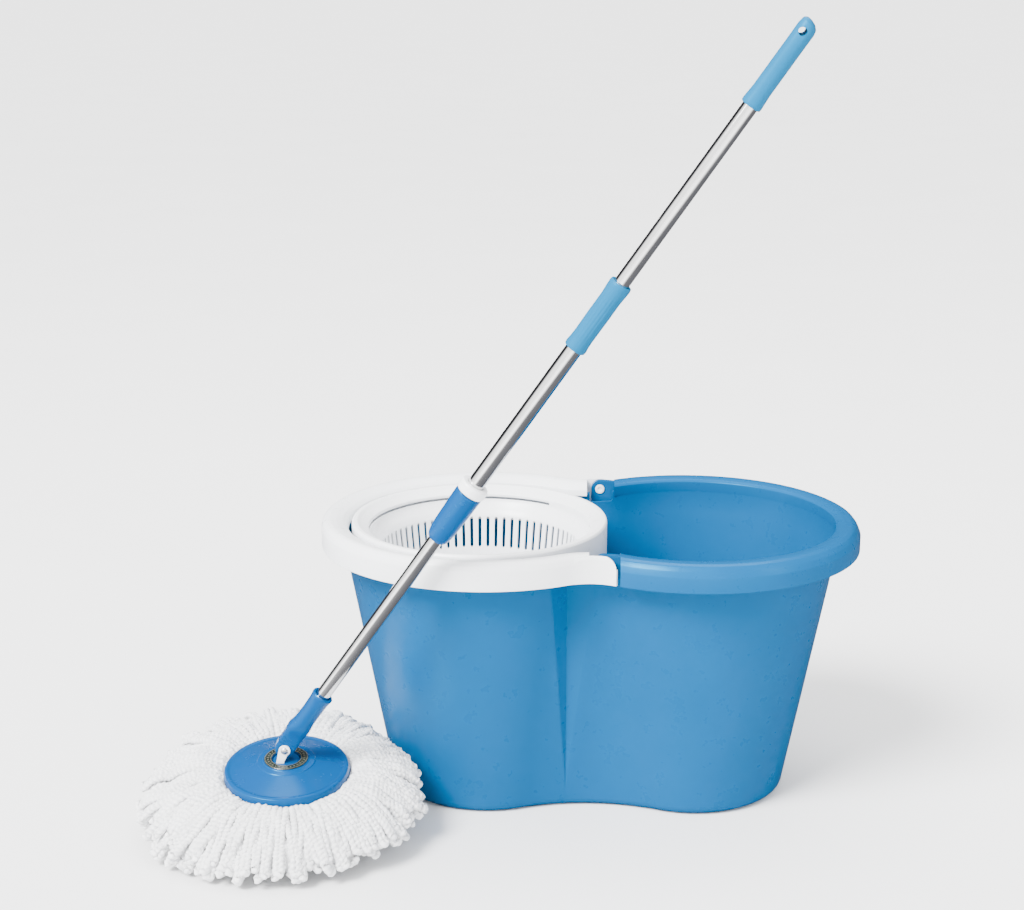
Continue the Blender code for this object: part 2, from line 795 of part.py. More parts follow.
def make_drive(pole):
    """Twisted rod, the nut it turns, the clutch ring under the nut and the bearing cap over it."""
    steps = 78
    rings = []
    for i in range(steps + 1):
        s = ROD_START + (ROD_END - ROD_START) * i / steps
        rings.append(twisted_ring(s, ROD_W / 2, ROD_T / 2))
    loft("twisted_rod", rings, "steel", pole)
    inside = LOWER_R - TUBE_T - GAP
    nut_low, nut_high = NUT_S - NUT_T / 2, NUT_S + NUT_T / 2
    nut = turned(
        "drive_nut",
        [(0.0, nut_high), (inside, nut_high), (inside, nut_low), (0.0, nut_low)],
        pole,
        "white_plastic",
    )
    turn = Matrix.Rotation(2 * math.pi * NUT_S / ROD_PITCH, 4, "Z")
    slot = box("nut_slot", (-0.0027, -0.00125, NUT_S - 0.01), (0.0027, 0.00125, NUT_S + 0.01), pole, turn=turn)
    boolean(nut, slot, "DIFFERENCE")
    turned("clutch_ring", tube_profile(inside, ROD_HOLE_R, 0.3080, nut_low - 0.0004), pole, "steel", ring=True)
    flange = OUTER_R - TUBE_T - 0.0004
    cap = [
        (ROD_HOLE_R, 0.3390),
        (flange, 0.3390),
        (flange, LOWER_END + 0.0004),
        (inside, LOWER_END + 0.0004),
        (inside, nut_high + 0.0004),
        (ROD_HOLE_R, nut_high + 0.0004),
    ]
    turned("bearing_cap", cap, pole, "white_plastic", ring=True)
    turned("rod_plug", tube_profile(flange, ROD_HOLE_R - 0.0002, 0.4120, 0.4200), pole, "white_plastic", ring=True)


def make_sleeves(pole):
    over_outer = OUTER_R + GAP
    over_lower = LOWER_R + GAP
    over_upper = UPPER_R + GAP
    lock = [
        (over_outer, LOCK_END),
        (0.0119, LOCK_END),
        (0.0121, LOCK_END - 0.0020),
        (0.0114, 0.2700),
        (0.0108, 0.2540),
        (0.0098, 0.2500),
        (0.0082, LOCK_START),
        (over_lower, LOCK_START),
        (over_lower, OUTER_START - 0.0020),
        (over_outer, OUTER_START - 0.0010),
    ]
    turned("lock_sleeve", lock, pole, "plate_blue", ring=True)
    collar = [
        (over_outer, COLLAR_END),
        (0.0113, COLLAR_END),
        (0.0122, COLLAR_END - 0.0013),
        (0.0122, LOCK_END + 0.0015),
        (0.0116, LOCK_END + GAP),
        (over_outer, LOCK_END + GAP),
    ]
    turned("collar_ring", collar, pole, "white_plastic", ring=True)
    mid = [
        (over_upper, MID_END),
        (0.0090, MID_END),
        (0.0096, MID_END - 0.0040),
        (0.0090, MID_END - 0.0110),
        (0.0092, 0.4850),
        (0.0089, MID_START + 0.0090),
        (0.0095, MID_START + 0.0030),
        (0.0091, MID_START),
        (over_outer, MID_START),
        (over_outer, OUTER_END + 0.0006),
        (over_upper, OUTER_END + 0.0010),
    ]
    turned("mid_sleeve", mid, pole, "grip_cyan", ring=True)
    plug = [
        (0.0, UPPER_START + 0.0110),
        (UPPER_R - TUBE_T - GAP, UPPER_START + 0.0110),
        (UPPER_R - TUBE_T - GAP, UPPER_START - GAP),
        (UPPER_R - 0.0001, UPPER_START - GAP),
        (UPPER_R - 0.0001, UPPER_START - 0.0050),
        (0.0, UPPER_START - 0.0050),
    ]
    turned("expander_plug", plug, pole, "white_plastic")


def make_grip(pole):
    bore = UPPER_R + GAP
    profile = [
        (0.0, GRIP_END),
        (0.0042, GRIP_END - 0.0008),
        (0.0068, GRIP_END - 0.0034),
        (0.0078, GRIP_END - 0.0080),
        (0.0078, GRIP_START + 0.0240),
        (0.0086, GRIP_START + 0.0030),
        (0.0084, GRIP_START),
        (bore, GRIP_START),
        (bore, UPPER_END + 0.0006),
        (0.0, UPPER_END + 0.0006),
    ]
    grip = turned("grip", profile, pole, "grip_cyan")
    boolean(grip, cross_cylinder("hang_hole", HANG_R, -0.02, 0.02, 0.0, HANG_S, pole), "DIFFERENCE")


def main():
    make_bucket()
    make_carry_handle()
    make_basket()
    make_spindle()
    head = empty("mop_head", RIVET, (HEAD_TILT, 0.0, 0.0))
    pole = empty("pole_axis", (0.0, 0.0, 0.0), (0.0, POLE_LEAN, 0.0), head)
    make_plate(head)
    make_hub_and_fork(head)
    make_strands(head)
    pin_hole = make_socket(pole)
    make_tubes(pole, pin_hole)
    make_drive(pole)
    make_sleeves(pole)
    make_grip(pole)


main()
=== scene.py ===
"""The spin mop set dressed for a picture: finer shapes, procedural materials, floor and light."""

import json
import math
import random

import bmesh
import bpy
import numpy as np
from mathutils import Matrix, Vector


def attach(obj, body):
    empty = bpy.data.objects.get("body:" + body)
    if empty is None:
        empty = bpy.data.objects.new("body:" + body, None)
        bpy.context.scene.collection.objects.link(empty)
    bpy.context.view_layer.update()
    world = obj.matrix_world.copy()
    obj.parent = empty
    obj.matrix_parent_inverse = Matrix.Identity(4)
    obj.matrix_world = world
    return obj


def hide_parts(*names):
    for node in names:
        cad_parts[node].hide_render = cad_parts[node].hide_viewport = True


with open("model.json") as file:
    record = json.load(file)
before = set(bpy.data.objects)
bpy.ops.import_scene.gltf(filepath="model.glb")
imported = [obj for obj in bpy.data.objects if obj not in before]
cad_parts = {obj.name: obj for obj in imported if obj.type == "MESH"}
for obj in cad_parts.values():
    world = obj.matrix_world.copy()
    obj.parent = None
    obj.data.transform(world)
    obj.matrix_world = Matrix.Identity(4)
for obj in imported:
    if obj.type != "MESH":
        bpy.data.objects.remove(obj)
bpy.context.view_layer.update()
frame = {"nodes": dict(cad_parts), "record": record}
random.seed(7)

# Metres. HEAD and POLE are the frames of the mop's head and pole, with the rivet at their origin.
RIVET = Vector((-0.2702, -0.1385, 0.0853))
HEAD_TILT = math.radians(8.0)
POLE_LEAN = math.radians(33.94)
HEAD = Matrix.Translation(RIVET) @ Matrix.Rotation(HEAD_TILT, 4, "X")
POLE = HEAD @ Matrix.Rotation(POLE_LEAN, 4, "Y")
BASKET = Matrix.Translation((-0.103, 0.0, 0.0))
LOBE_X = 0.0965  # centre of each lobe of the bucket, either side of the waist
PIVOT = Vector((0.0110, 0.0, 0.2532))  # the carry handle's axis
OUTER_R, OUTER_WAIST = 0.1535, 0.128  # outer edge of rim and handle: lobe radius, half waist
WALL_TOP = 0.2365  # where the tub's drafted wall ends
LIP_BASE, LIP_TOP = 0.2475, 0.2535
LIP_R, LIP_WAIST = 0.1332, 0.1077
TUB_WALL = 0.0021  # the tub's thickness
FOOT_ROUND = 0.0075  # rounding between the tub's wall and its base
FLOOR_Z, FLOOR_ROUND = 0.0045, 0.0065  # the tub's inner floor and its rounding
GROOVE_X, GROOVE_DEPTH, GROOVE_Z = -0.021, 0.0105, 0.02  # crease, depth at the top, foot
FLANK_X = 0.052  # half width of the part of the outline that has its own stations
RIM_END_X = 0.0252  # where the water side's rim stops, next to the handle
LUG_IN, LUG_OUT, LUG_R, LUG_BORE_R = 0.1185, 0.1243, 0.0085, 0.0048
ARM_INNER_X, ARM_END_X = -0.0020, 0.0215  # where the handle's inner wall and its arms stop
ARM_ROUND = (0.0107, 0.2509, 0.0108)  # (x, z, radius) of the rounding on an arm's end
SLOTS = 72  # slots round the basket
SLOT_BANDS = ((0.2315, 0.2015), (0.1940, 0.1600))  # (top, bottom) of the basket's two rows of slots
TUFT_EDGE = 0.0620  # where the tufts leave the plate
TUFT_COUNTS = (80, 74, 66, 56, 44)  # cords in each layer, from the top one down
TUFT_REACHES = (0.1225, 0.1235, 0.1225, 0.1215, 0.118)
TUFT_DROPS = (0.0005, 0.0055, 0.0105, 0.0165, 0.0230)
TUFT_DEPTHS = (0.0, 0.26, 0.52, 0.78, 1.0)


# ---------------------------------------------------------------- node helpers


def new_material(name):
    made = bpy.data.materials.new(name)
    made.use_nodes = True
    tree = made.node_tree
    return made, tree, tree.nodes["Principled BSDF"]


def noise(tree, vector, scale, detail=3.0, rough=0.5):
    made = tree.nodes.new("ShaderNodeTexNoise")
    made.inputs["Scale"].default_value = scale
    made.inputs["Detail"].default_value = detail
    made.inputs["Roughness"].default_value = rough
    tree.links.new(vector, made.inputs["Vector"])
    return made.outputs["Fac"]


def stretched(tree, vector, scale):
    made = tree.nodes.new("ShaderNodeMapping")
    made.inputs["Scale"].default_value = scale
    tree.links.new(vector, made.inputs["Vector"])
    return made.outputs["Vector"]


def remap(tree, value, low, high, to_low, to_high):
    made = tree.nodes.new("ShaderNodeMapRange")
    made.inputs["From Min"].default_value = low
    made.inputs["From Max"].default_value = high
    made.inputs["To Min"].default_value = to_low
    made.inputs["To Max"].default_value = to_high
    tree.links.new(value, made.inputs["Value"])
    return made.outputs["Result"]


def maths(tree, kind, a, b):
    made = tree.nodes.new("ShaderNodeMath")
    made.operation = kind
    for socket, value in zip(made.inputs, (a, b)):
        if isinstance(value, (int, float)):
            socket.default_value = value
        else:
            tree.links.new(value, socket)
    return made.outputs[0]


def mix(tree, factor, a, b):
    made = tree.nodes.new("ShaderNodeMix")
    made.data_type = "RGBA"
    tree.links.new(factor, made.inputs["Factor"])
    for socket, value in ((made.inputs["A"], a), (made.inputs["B"], b)):
        if isinstance(value, tuple):
            socket.default_value = (*value, 1.0)
        else:
            tree.links.new(value, socket)
    return made.outputs["Result"]


def bump(tree, height, strength, distance, normal=None):
    made = tree.nodes.new("ShaderNodeBump")
    made.inputs["Strength"].default_value = strength
    made.inputs["Distance"].default_value = distance
    tree.links.new(height, made.inputs["Height"])
    if normal is not None:
        tree.links.new(normal, made.inputs["Normal"])
    return made.outputs["Normal"]


def plastic(name, colour, rough, grain, mottle, sss=0.0, shine=0.5, tint=(1.0, 1.0, 1.0)):
    """Moulded plastic: faint mottling, uneven gloss, a fine moulded grain and hairline scuffs."""
    made, tree, shader = new_material(name)
    place = tree.nodes.new("ShaderNodeTexCoord").outputs["Object"]
    flow = noise(tree, place, 14.0, 4.0, 0.55)
    dark = tuple(c * (1 - mottle) for c in colour)
    light = tuple(min(1.0, c * (1 + mottle) + 0.01 * mottle) for c in colour)
    base = mix(tree, remap(tree, flow, 0.3, 0.7, 0.0, 1.0), dark, light)
    tree.links.new(base, shader.inputs["Base Color"])
    wear = noise(tree, place, 70.0, 5.0, 0.6)
    scuff = noise(tree, stretched(tree, place, (40.0, 900.0, 300.0)), 1.0, 2.0)
    gloss = remap(tree, wear, 0.3, 0.7, rough - 0.05, rough + 0.06)
    extra = remap(tree, scuff, 0.62, 0.75, 0.0, 0.008)
    tree.links.new(maths(tree, "ADD", gloss, extra), shader.inputs["Roughness"])
    peel = noise(tree, place, 170.0, 2.0)
    fine = noise(tree, place, 1500.0, 2.0)
    normal = bump(tree, peel, grain, 0.00012)
    normal = bump(tree, fine, grain, 0.00008, normal)
    tree.links.new(normal, shader.inputs["Normal"])
    shader.inputs["IOR"].default_value = 1.49
    shader.inputs["Specular IOR Level"].default_value = shine
    shader.inputs["Specular Tint"].default_value = (*tint, 1.0)
    if sss > 0:
        shader.inputs["Subsurface Weight"].default_value = sss
        shader.inputs["Subsurface Radius"].default_value = (1.0, 1.0, 1.0)
        shader.inputs["Subsurface Scale"].default_value = 0.004
    return made


def metal(name, colour, rough, streak=0.10):
    """Drawn and polished steel: fine lines along the tube and slightly uneven polish."""
    made, tree, shader = new_material(name)
    place = tree.nodes.new("ShaderNodeTexCoord").outputs["Object"]
    lines = noise(tree, stretched(tree, place, (2600.0, 2600.0, 6.0)), 1.0, 3.0)
    soft = noise(tree, place, 45.0, 4.0)
    dark = tuple(c * 0.88 for c in colour)
    base = mix(tree, remap(tree, soft, 0.3, 0.7, 0.0, 1.0), dark, colour)
    tree.links.new(base, shader.inputs["Base Color"])
    shader.inputs["Metallic"].default_value = 1.0
    gloss = remap(tree, lines, 0.3, 0.7, rough * 0.75, rough * 1.35)
    tree.links.new(gloss, shader.inputs["Roughness"])
    tree.links.new(bump(tree, lines, streak, 0.00003), shader.inputs["Normal"])
    return made


def fibre_material():
    """White twisted microfibre: plies that wind along each cord, grey painted shade in the grooves
    between the plies, and a soft nap.
    """
    made, tree, shader = new_material("fibre_look")
    coords = tree.nodes.new("ShaderNodeTexCoord")
    parts = tree.nodes.new("ShaderNodeSeparateXYZ")
    tree.links.new(coords.outputs["UV"], parts.inputs["Vector"])
    wound = maths(tree, "ADD", parts.outputs["Y"], parts.outputs["X"])
    ply = maths(tree, "SINE", maths(tree, "MULTIPLY", wound, 4 * math.pi), 0.0)
    nap = noise(tree, coords.outputs["Object"], 900.0, 4.0, 0.7)
    lint = noise(tree, coords.outputs["Object"], 2600.0, 2.0, 0.6)
    patch = noise(tree, coords.outputs["Object"], 60.0, 3.0)
    # Painted shade: the base colour goes from white to grey in the grooves between the plies.
    ply_groove_shade = remap(tree, ply, -1.0, 0.2, 0.0, 1.0)
    groove_shaded_white = mix(tree, ply_groove_shade, (0.62, 0.63, 0.66), (0.93, 0.93, 0.93))
    tone = remap(tree, patch, 0.3, 0.7, 0.0, 1.0)
    base = mix(tree, tone, groove_shaded_white, (0.90, 0.905, 0.915))
    tree.links.new(base, shader.inputs["Base Color"])
    shader.inputs["Roughness"].default_value = 0.95
    shader.inputs["Specular IOR Level"].default_value = 0.15
    shader.inputs["Sheen Weight"].default_value = 0.35
    shader.inputs["Sheen Roughness"].default_value = 0.5
    shader.inputs["Subsurface Weight"].default_value = 0.25
    shader.inputs["Subsurface Radius"].default_value = (1.0, 1.0, 1.0)
    shader.inputs["Subsurface Scale"].default_value = 0.003
    normal = bump(tree, ply, 0.55, 0.0006)
    normal = bump(tree, nap, 0.9, 0.0008, normal)
    normal = bump(tree, lint, 0.6, 0.0003, normal)
    tree.links.new(normal, shader.inputs["Normal"])
    return made


def trim_material():
    """Dark enamel with two thin gilt lines and a ring of small plain ticks."""
    made, tree, shader = new_material("trim_look")
    place = tree.nodes.new("ShaderNodeTexCoord").outputs["Object"]
    parts = tree.nodes.new("ShaderNodeSeparateXYZ")
    tree.links.new(place, parts.inputs["Vector"])
    x, y = parts.outputs["X"], parts.outputs["Y"]
    x_squared = maths(tree, "MULTIPLY", x, x)
    y_squared = maths(tree, "MULTIPLY", y, y)
    squares = maths(tree, "ADD", x_squared, y_squared)
    radius = maths(tree, "SQRT", squares, 0.0)
    angle = maths(tree, "ARCTAN2", y, x)
    marks = []
    half = 0.00022
    for middle in (0.01375, 0.0188):
        off = maths(tree, "ABSOLUTE", maths(tree, "SUBTRACT", radius, middle), 0.0)
        marks.append(maths(tree, "LESS_THAN", off, half))
    off = maths(tree, "ABSOLUTE", maths(tree, "SUBTRACT", radius, 0.0163), 0.0)
    band = maths(tree, "LESS_THAN", off, 0.0007)
    beat = maths(tree, "SINE", maths(tree, "MULTIPLY", angle, 30.0), 0.0)
    ticks = maths(tree, "MULTIPLY", band, maths(tree, "GREATER_THAN", beat, 0.55))
    gilt = maths(tree, "MAXIMUM", maths(tree, "MAXIMUM", marks[0], marks[1]), ticks)
    speck = noise(tree, place, 500.0, 3.0)
    tone = remap(tree, speck, 0.3, 0.7, 0.0, 1.0)
    ground = mix(tree, tone, (0.006, 0.010, 0.009), (0.016, 0.024, 0.02))
    base = mix(tree, gilt, ground, (0.12, 0.12, 0.085))
    tree.links.new(base, shader.inputs["Base Color"])
    tree.links.new(remap(tree, speck, 0.3, 0.7, 0.22, 0.34), shader.inputs["Roughness"])
    return made


BUCKET_BLUE = (0.0, 0.074, 0.205)
GRIP_CYAN = (0.0, 0.110, 0.245)
PLATE_BLUE = (0.0, 0.048, 0.170)
GLOSS = (0.12, 0.62, 1.0)  # tint of the blue plastics' highlights
LOOKS = {
    "bucket_blue": plastic("bucket_look", BUCKET_BLUE, 0.30, 0.10, 0.035, 0.0, 0.40, GLOSS),
    "grip_cyan": plastic("grip_look", GRIP_CYAN, 0.40, 0.25, 0.05, 0.0, 0.35, GLOSS),
    "plate_blue": plastic("plate_look", PLATE_BLUE, 0.24, 0.08, 0.04, 0.0, 0.40, GLOSS),
    "white_plastic": plastic("white_look", (0.86, 0.875, 0.895), 0.30, 0.08, 0.02, 0.15),
    "steel": metal("steel_look", (0.80, 0.795, 0.79), 0.10),
    "dark_trim": trim_material(),
    "fibre": fibre_material(),
}


# ---------------------------------------------------------------- shape helpers


def rounded(profile, size, closed=False, arc=4):
    """The profile with its corners rounded, each by up to size or a share of its shorter side.
    A point may give its own size as a third number."""
    most = 0.42  # of the shorter side
    points = [Vector(p[:2]) for p in profile]
    sizes = [p[2] if len(p) > 2 else size for p in profile]
    count = len(points)
    out = []
    for i, here in enumerate(points):
        if not closed and i in (0, count - 1):
            out.append(here.copy())
            continue
        before, after = points[i - 1] - here, points[(i + 1) % count] - here
        turn = math.pi - before.angle(after, math.pi)
        if turn < math.radians(6) or sizes[i] <= 0:
            out.append(here.copy())
            continue
        cut = min(sizes[i] * math.tan(turn / 2), most * before.length, most * after.length)
        a, b = here + before.normalized() * cut, here + after.normalized() * cut
        steps = max(2, min(arc, int(turn / math.radians(14)) + 1))
        for k in range(steps + 1):
            t = k / steps
            out.append(a * (1 - t) ** 2 + here * 2 * t * (1 - t) + b * t**2)
    return out


def grid_mesh(name, rows, around=True, along=False, drop=None):
    """A mesh from rows of points. around joins each row's ends, along the last row to the first,
    and drop says which faces are left out."""
    rows = np.asarray(rows, float)
    n, m = rows.shape[:2]
    verts = rows.reshape(-1, 3)
    faces, coords = [], []
    for i in range(n if along else n - 1):
        for j in range(m if around else m - 1):
            if drop is not None and drop(i, j):
                continue
            a, b = i * m + j, i * m + (j + 1) % m
            c, d = ((i + 1) % n) * m + (j + 1) % m, ((i + 1) % n) * m + j
            faces.append((a, b, c, d))
            u, v = j / m, (j + 1) / m
            coords.append(((u, i), (v, i), (v, i + 1), (u, i + 1)))
    mesh = bpy.data.meshes.new(name)
    mesh.from_pydata(verts.tolist(), [], faces)
    layer = mesh.uv_layers.new(name="UVMap")
    layer.data.foreach_set("uv", np.array(coords, np.float32).reshape(-1))
    return mesh


def outward_faces(mesh):
    bm = bmesh.new()
    bm.from_mesh(mesh)
    bmesh.ops.remove_doubles(bm, verts=bm.verts, dist=1e-6)
    bmesh.ops.recalc_face_normals(bm, faces=bm.faces)
    bm.to_mesh(mesh)
    bm.free()


def piece(name, mesh, body, slot, matrix=None, stands_for=(), angle=32.0, recalculate=True):
    """An object that rides body. Edges up to angle degrees are shaded smooth."""
    if recalculate:
        outward_faces(mesh)
    made = bpy.data.objects.new(name, mesh)
    bpy.context.scene.collection.objects.link(made)
    if matrix is not None:
        made.matrix_world = matrix
    mesh.materials.append(LOOKS[slot])
    mesh.shade_smooth()
    if angle:
        mesh.set_sharp_from_angle(angle=math.radians(angle))
    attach(made, body)
    if stands_for:
        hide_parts(*stands_for)
    return made


def lathe(
    name, profile, body, slot, matrix, stands_for, size, closed=False, steps=96, change=None
):
    """A turned piece. The (radius, height) profile is rounded first; change may move a point."""
    steps = steps
    path = rounded(profile, size, closed)
    rows = []
    for p in path:
        row = []
        for k in range(steps):
            a = 2 * math.pi * k / steps
            r, z = (p.x, p.y) if change is None else change(p.x, p.y, a)
            row.append((r * math.cos(a), r * math.sin(a), z))
        rows.append(row)
    mesh = grid_mesh(name, rows, True, closed)
    return piece(name, mesh, body, slot, matrix, stands_for)


def cutter(name, mesh, matrix=None):
    outward_faces(mesh)
    made = bpy.data.objects.new(name, mesh)
    if matrix is not None:
        made.matrix_world = matrix
    return made


def apply_boolean(obj, other, operation="DIFFERENCE"):
    """Cuts or joins now, and keeps only the result."""
    bpy.context.scene.collection.objects.link(other)
    added = obj.modifiers.new("boolean", "BOOLEAN")
    added.operation = operation
    added.solver = "MANIFOLD"
    added.object = other
    bpy.context.view_layer.update()
    graph = bpy.context.evaluated_depsgraph_get()
    result = bpy.data.meshes.new_from_object(obj.evaluated_get(graph))
    obj.modifiers.clear()
    obj.data = result
    bpy.data.objects.remove(other)


def soften(obj, width, segments=2, angle=38.0):
    added = obj.modifiers.new("edges", "BEVEL")
    added.width = width
    added.segments = segments
    added.limit_method = "ANGLE"
    added.angle_limit = math.radians(angle)
    added.harden_normals = False
    added.use_clamp_overlap = True


def capped_rows(rows):
    """Rows with a last point at each end, so that the body closes."""
    rows = [list(map(tuple, row)) for row in rows]
    first = tuple(np.mean(np.array(rows[0]), axis=0))
    last = tuple(np.mean(np.array(rows[-1]), axis=0))
    return [[first] * len(rows[0])] + rows + [[last] * len(rows[0])]


# ---------------------------------------------------------------- bucket


def waist_fillet(lobe_r, waist):
    fillet = (LOBE_X**2 + waist**2 - lobe_r**2) / (2 * (lobe_r - waist))
    return fillet, LOBE_X - lobe_r * math.cos(math.atan2(waist + fillet, LOBE_X))


def half_depth(x, lobe_r, waist):
    fillet, meet = waist_fillet(lobe_r, waist)
    if abs(x) < meet:
        return waist + fillet - math.sqrt(fillet**2 - x**2)
    return math.sqrt(max(lobe_r**2 - (LOBE_X - abs(x)) ** 2, 0.0))


def outward(x, lobe_r, waist):
    fillet, meet = waist_fillet(lobe_r, waist)
    y = half_depth(x, lobe_r, waist)
    if abs(x) < meet:
        return Vector((-x / fillet, (waist + fillet - y) / fillet))
    return Vector(((x - math.copysign(LOBE_X, x)) / lobe_r, y / lobe_r))


def waist_stations(share):
    """(x, groove depth) across the waist: a narrow flank and a broad one meet in a crease."""
    wide = max(share, 0.03)
    deep = GROOVE_DEPTH * max(share, 0.0)
    out = [(-FLANK_X + 0.0022 * i, 0.0) for i in range(4)]
    left = GROOVE_X - 0.0145 * wide
    start = out[-1][0]
    out += [(start + (left - 0.0015 - start) * k / 3, 0.0) for k in range(1, 4)]
    for q in (1.0, 0.88, 0.7, 0.45, 0.2, 0.06):
        out.append((GROOVE_X - 0.0145 * wide * q, deep * (1 - q) ** 0.92))
    out.append((GROOVE_X, deep))
    for q in (0.05, 0.16, 0.32, 0.5, 0.68, 0.84, 0.94, 1.0):
        out.append((GROOVE_X + 0.0265 * wide * q, deep * (1 - q) ** 1.12))
    start = out[-1][0]
    out += [(start + (FLANK_X - start) * k / 9, 0.0) for k in range(1, 10)]
    return out


def tub_outline(z, lobe_r, waist):
    """The tub's outline at one height. The groove deepens up to the wall's top, then runs out."""
    rising = (z - GROOVE_Z) / (WALL_TOP - GROOVE_Z)
    falling = (LIP_BASE - z) / (LIP_BASE - WALL_TOP)
    share = min(rising, falling)
    stations = waist_stations(share)
    front = [(x, deep - half_depth(x, lobe_r, waist)) for x, deep in stations]
    back = [(x, half_depth(x, lobe_r, waist) - deep) for x, deep in reversed(stations)]
    reach = math.atan2(half_depth(FLANK_X, lobe_r, waist), FLANK_X - LOBE_X)
    steps = 56
    right, left = [], []
    for i in range(1, steps):
        a = -reach + 2 * reach * i / steps
        right.append((LOBE_X + lobe_r * math.cos(a), lobe_r * math.sin(a)))
        left.append((-LOBE_X - lobe_r * math.cos(a), -lobe_r * math.sin(a)))
    return [(x, y, z) for x, y in front + right + back + left]


def wall(z, inset):
    """The drafted wall's outline, moved in by inset."""
    share = z / WALL_TOP
    return tub_outline(z, 0.088 + 0.0445 * share - inset, 0.0685 + 0.0385 * share - inset)


def make_tub():
    rows = []
    for k in range(7):
        a = math.pi / 2 * k / 6
        rows.append(wall(FOOT_ROUND * (1 - math.sin(a)), FOOT_ROUND * (1 - math.cos(a))))
    rows.reverse()
    levels = [0.012, 0.02, 0.028, 0.04, 0.06, 0.085, 0.11, 0.135, 0.16, 0.185, 0.21, 0.228]
    levels.append(WALL_TOP)
    rows += [wall(z, 0.0) for z in levels]
    lip = (
        (LIP_BASE, 0.0),
        (0.2525, 0.0),
        (LIP_TOP, 0.0004),
        (LIP_TOP, 0.0017),
        (0.2525, TUB_WALL),
        (LIP_BASE, TUB_WALL),
    )
    rows += [tub_outline(z, LIP_R - inset, LIP_WAIST - inset) for z, inset in lip]
    rows += [wall(z, TUB_WALL) for z in reversed(levels)]
    for k in range(6):
        a = math.pi / 2 * k / 5
        z, inset = FLOOR_ROUND * (1 - math.sin(a)), FLOOR_ROUND * (1 - math.cos(a))
        rows.append(wall(FLOOR_Z + z, TUB_WALL + inset))
    mesh = grid_mesh("bucket_body", capped_rows(rows))
    body = piece("bucket_body", mesh, "bucket", "bucket_blue", None, ("bucket",), 40.0)
    for side in (1, -1):
        low, high = sorted((side * 0.095, side * 0.1129))
        loop = [
            (0.0008, 0.2446),
            (0.0020, 0.2436),
            (0.0222, 0.2436),
            (0.0234, 0.2446),
            (0.0234, 0.28),
            (0.0008, 0.28),
        ]
        apply_boolean(body, cutter("notch", slab("notch", loop, low, high)))


# Sections of the rim and the handle: (distance in from the outer edge, height, corner size)
RIM = [
    (0.0, 0.2365, 0.0006),
    (0.0, 0.2504, 0.0005),
    (0.0022, 0.2558, 0.003),
    (0.0050, 0.2595, 0.003),
    (0.0085, 0.2612, 0.004),
    (0.0150, 0.2611, 0.004),
    (0.0202, 0.2600, 0.002),
    (0.0225, 0.2580, 0.0015),
    (0.0225, 0.2480, 0.0005),
    (0.0200, 0.2480, 0.0005),
    (0.0197, 0.2568, 0.002),
    (0.0150, 0.2584, 0.003),
    (0.0090, 0.2586, 0.003),
    (0.0060, 0.2570, 0.002),
    (0.0026, 0.2500, 0.001),
    (0.0026, 0.2365, 0.0006),
]


def make_rim():
    """The rolled rim round the water side."""
    profile = rounded(RIM, 0.001, True, 5)
    rows = []
    steps = 110
    for i in range(steps + 1):
        row = []
        for p in profile:
            r = OUTER_R - p.x
            reach = math.acos((RIM_END_X - LOBE_X) / r)
            a = -reach + 2 * reach * i / steps
            row.append((LOBE_X + r * math.cos(a), r * math.sin(a), p.y))
        rows.append(row)
    mesh = grid_mesh("bucket_rim", capped_rows(rows))
    rim = piece("bucket_rim", mesh, "bucket", "bucket_blue", None, (), 40.0)
    soften(rim, 0.0007, 2, 60.0)


def slab(name, loop, low, high):
    """A closed outline of (x, z) points pushed along Y from low to high."""
    rows = [[(x, y, z) for x, z in loop] for y in (low, high)]
    return grid_mesh(name, capped_rows(rows))


def make_lugs():
    """Eyes for the handle's studs, each blended into the rim."""
    for side in (1, -1):
        tag = "back" if side > 0 else "front"
        low, high = sorted((side * LUG_IN, side * LUG_OUT))
        loop = []
        for k in range(25):
            a = math.radians(90 + 180 * k / 24)
            loop.append((PIVOT.x + LUG_R * math.cos(a), PIVOT.z + LUG_R * math.sin(a)))
        loop = loop[:15] + [(PIVOT.x - 0.0084, PIVOT.z - 0.0132), (0.0310, PIVOT.z - 0.0132)]
        loop += [(0.0310, 0.2604), (0.0262, 0.2604), (0.0215, PIVOT.z + 0.0080)]
        mesh = slab("lug_" + tag, loop, low, high)
        lug = piece("lug_" + tag, mesh, "bucket", "bucket_blue", None, (), 40.0)
        rows = []
        for y in (low - 0.002, high + 0.002):
            turn = np.linspace(0, 2 * math.pi, 32, endpoint=False)
            ring = [(LUG_BORE_R * math.cos(a), LUG_BORE_R * math.sin(a)) for a in turn]
            rows.append([(PIVOT.x + x, y, PIVOT.z + z) for x, z in ring])
        apply_boolean(lug, cutter("lug_bore", grid_mesh("lug_bore", capped_rows(rows))))
        soften(lug, 0.0007, 3, 50.0)


# ---------------------------------------------------------------- carry handle


BAND = [
    (0.0, 0.2365, 0.0009),
    (0.0, 0.2545, 0.003),
    (0.0014, 0.2590, 0.003),
    (0.0045, 0.2615, 0.003),
    (0.0080, 0.2622, 0.005),
    (0.0140, 0.2612, 0.006),
    (0.0200, 0.2590, 0.004),
    (0.0235, 0.2560, 0.002),
    (0.0253, 0.2500, 0.0006),
    (0.0235, 0.2500, 0.0006),
    (0.0229, 0.2543, 0.001),
    (0.0188, 0.2566, 0.003),
    (0.0135, 0.2587, 0.003),
    (0.0080, 0.2597, 0.003),
    (0.0054, 0.2588, 0.002),
    (0.0028, 0.2535, 0.001),
    (0.0026, 0.2365, 0.0007),
]


# Section of an arm's plate: (distance in from the outer edge, height)
ARM = [
    (0.00006, 0.2366),
    (0.00006, 0.2585),
    (0.0006, 0.2604),
    (0.0016, 0.2615),
    (0.0029, 0.2616),
    (0.0029, 0.2366),
]


def edge_point(x):
    """A point of the outer edge on the back half, and the way out from it."""
    return Vector((x, half_depth(x, OUTER_R, OUTER_WAIST))), outward(x, OUTER_R, OUTER_WAIST)


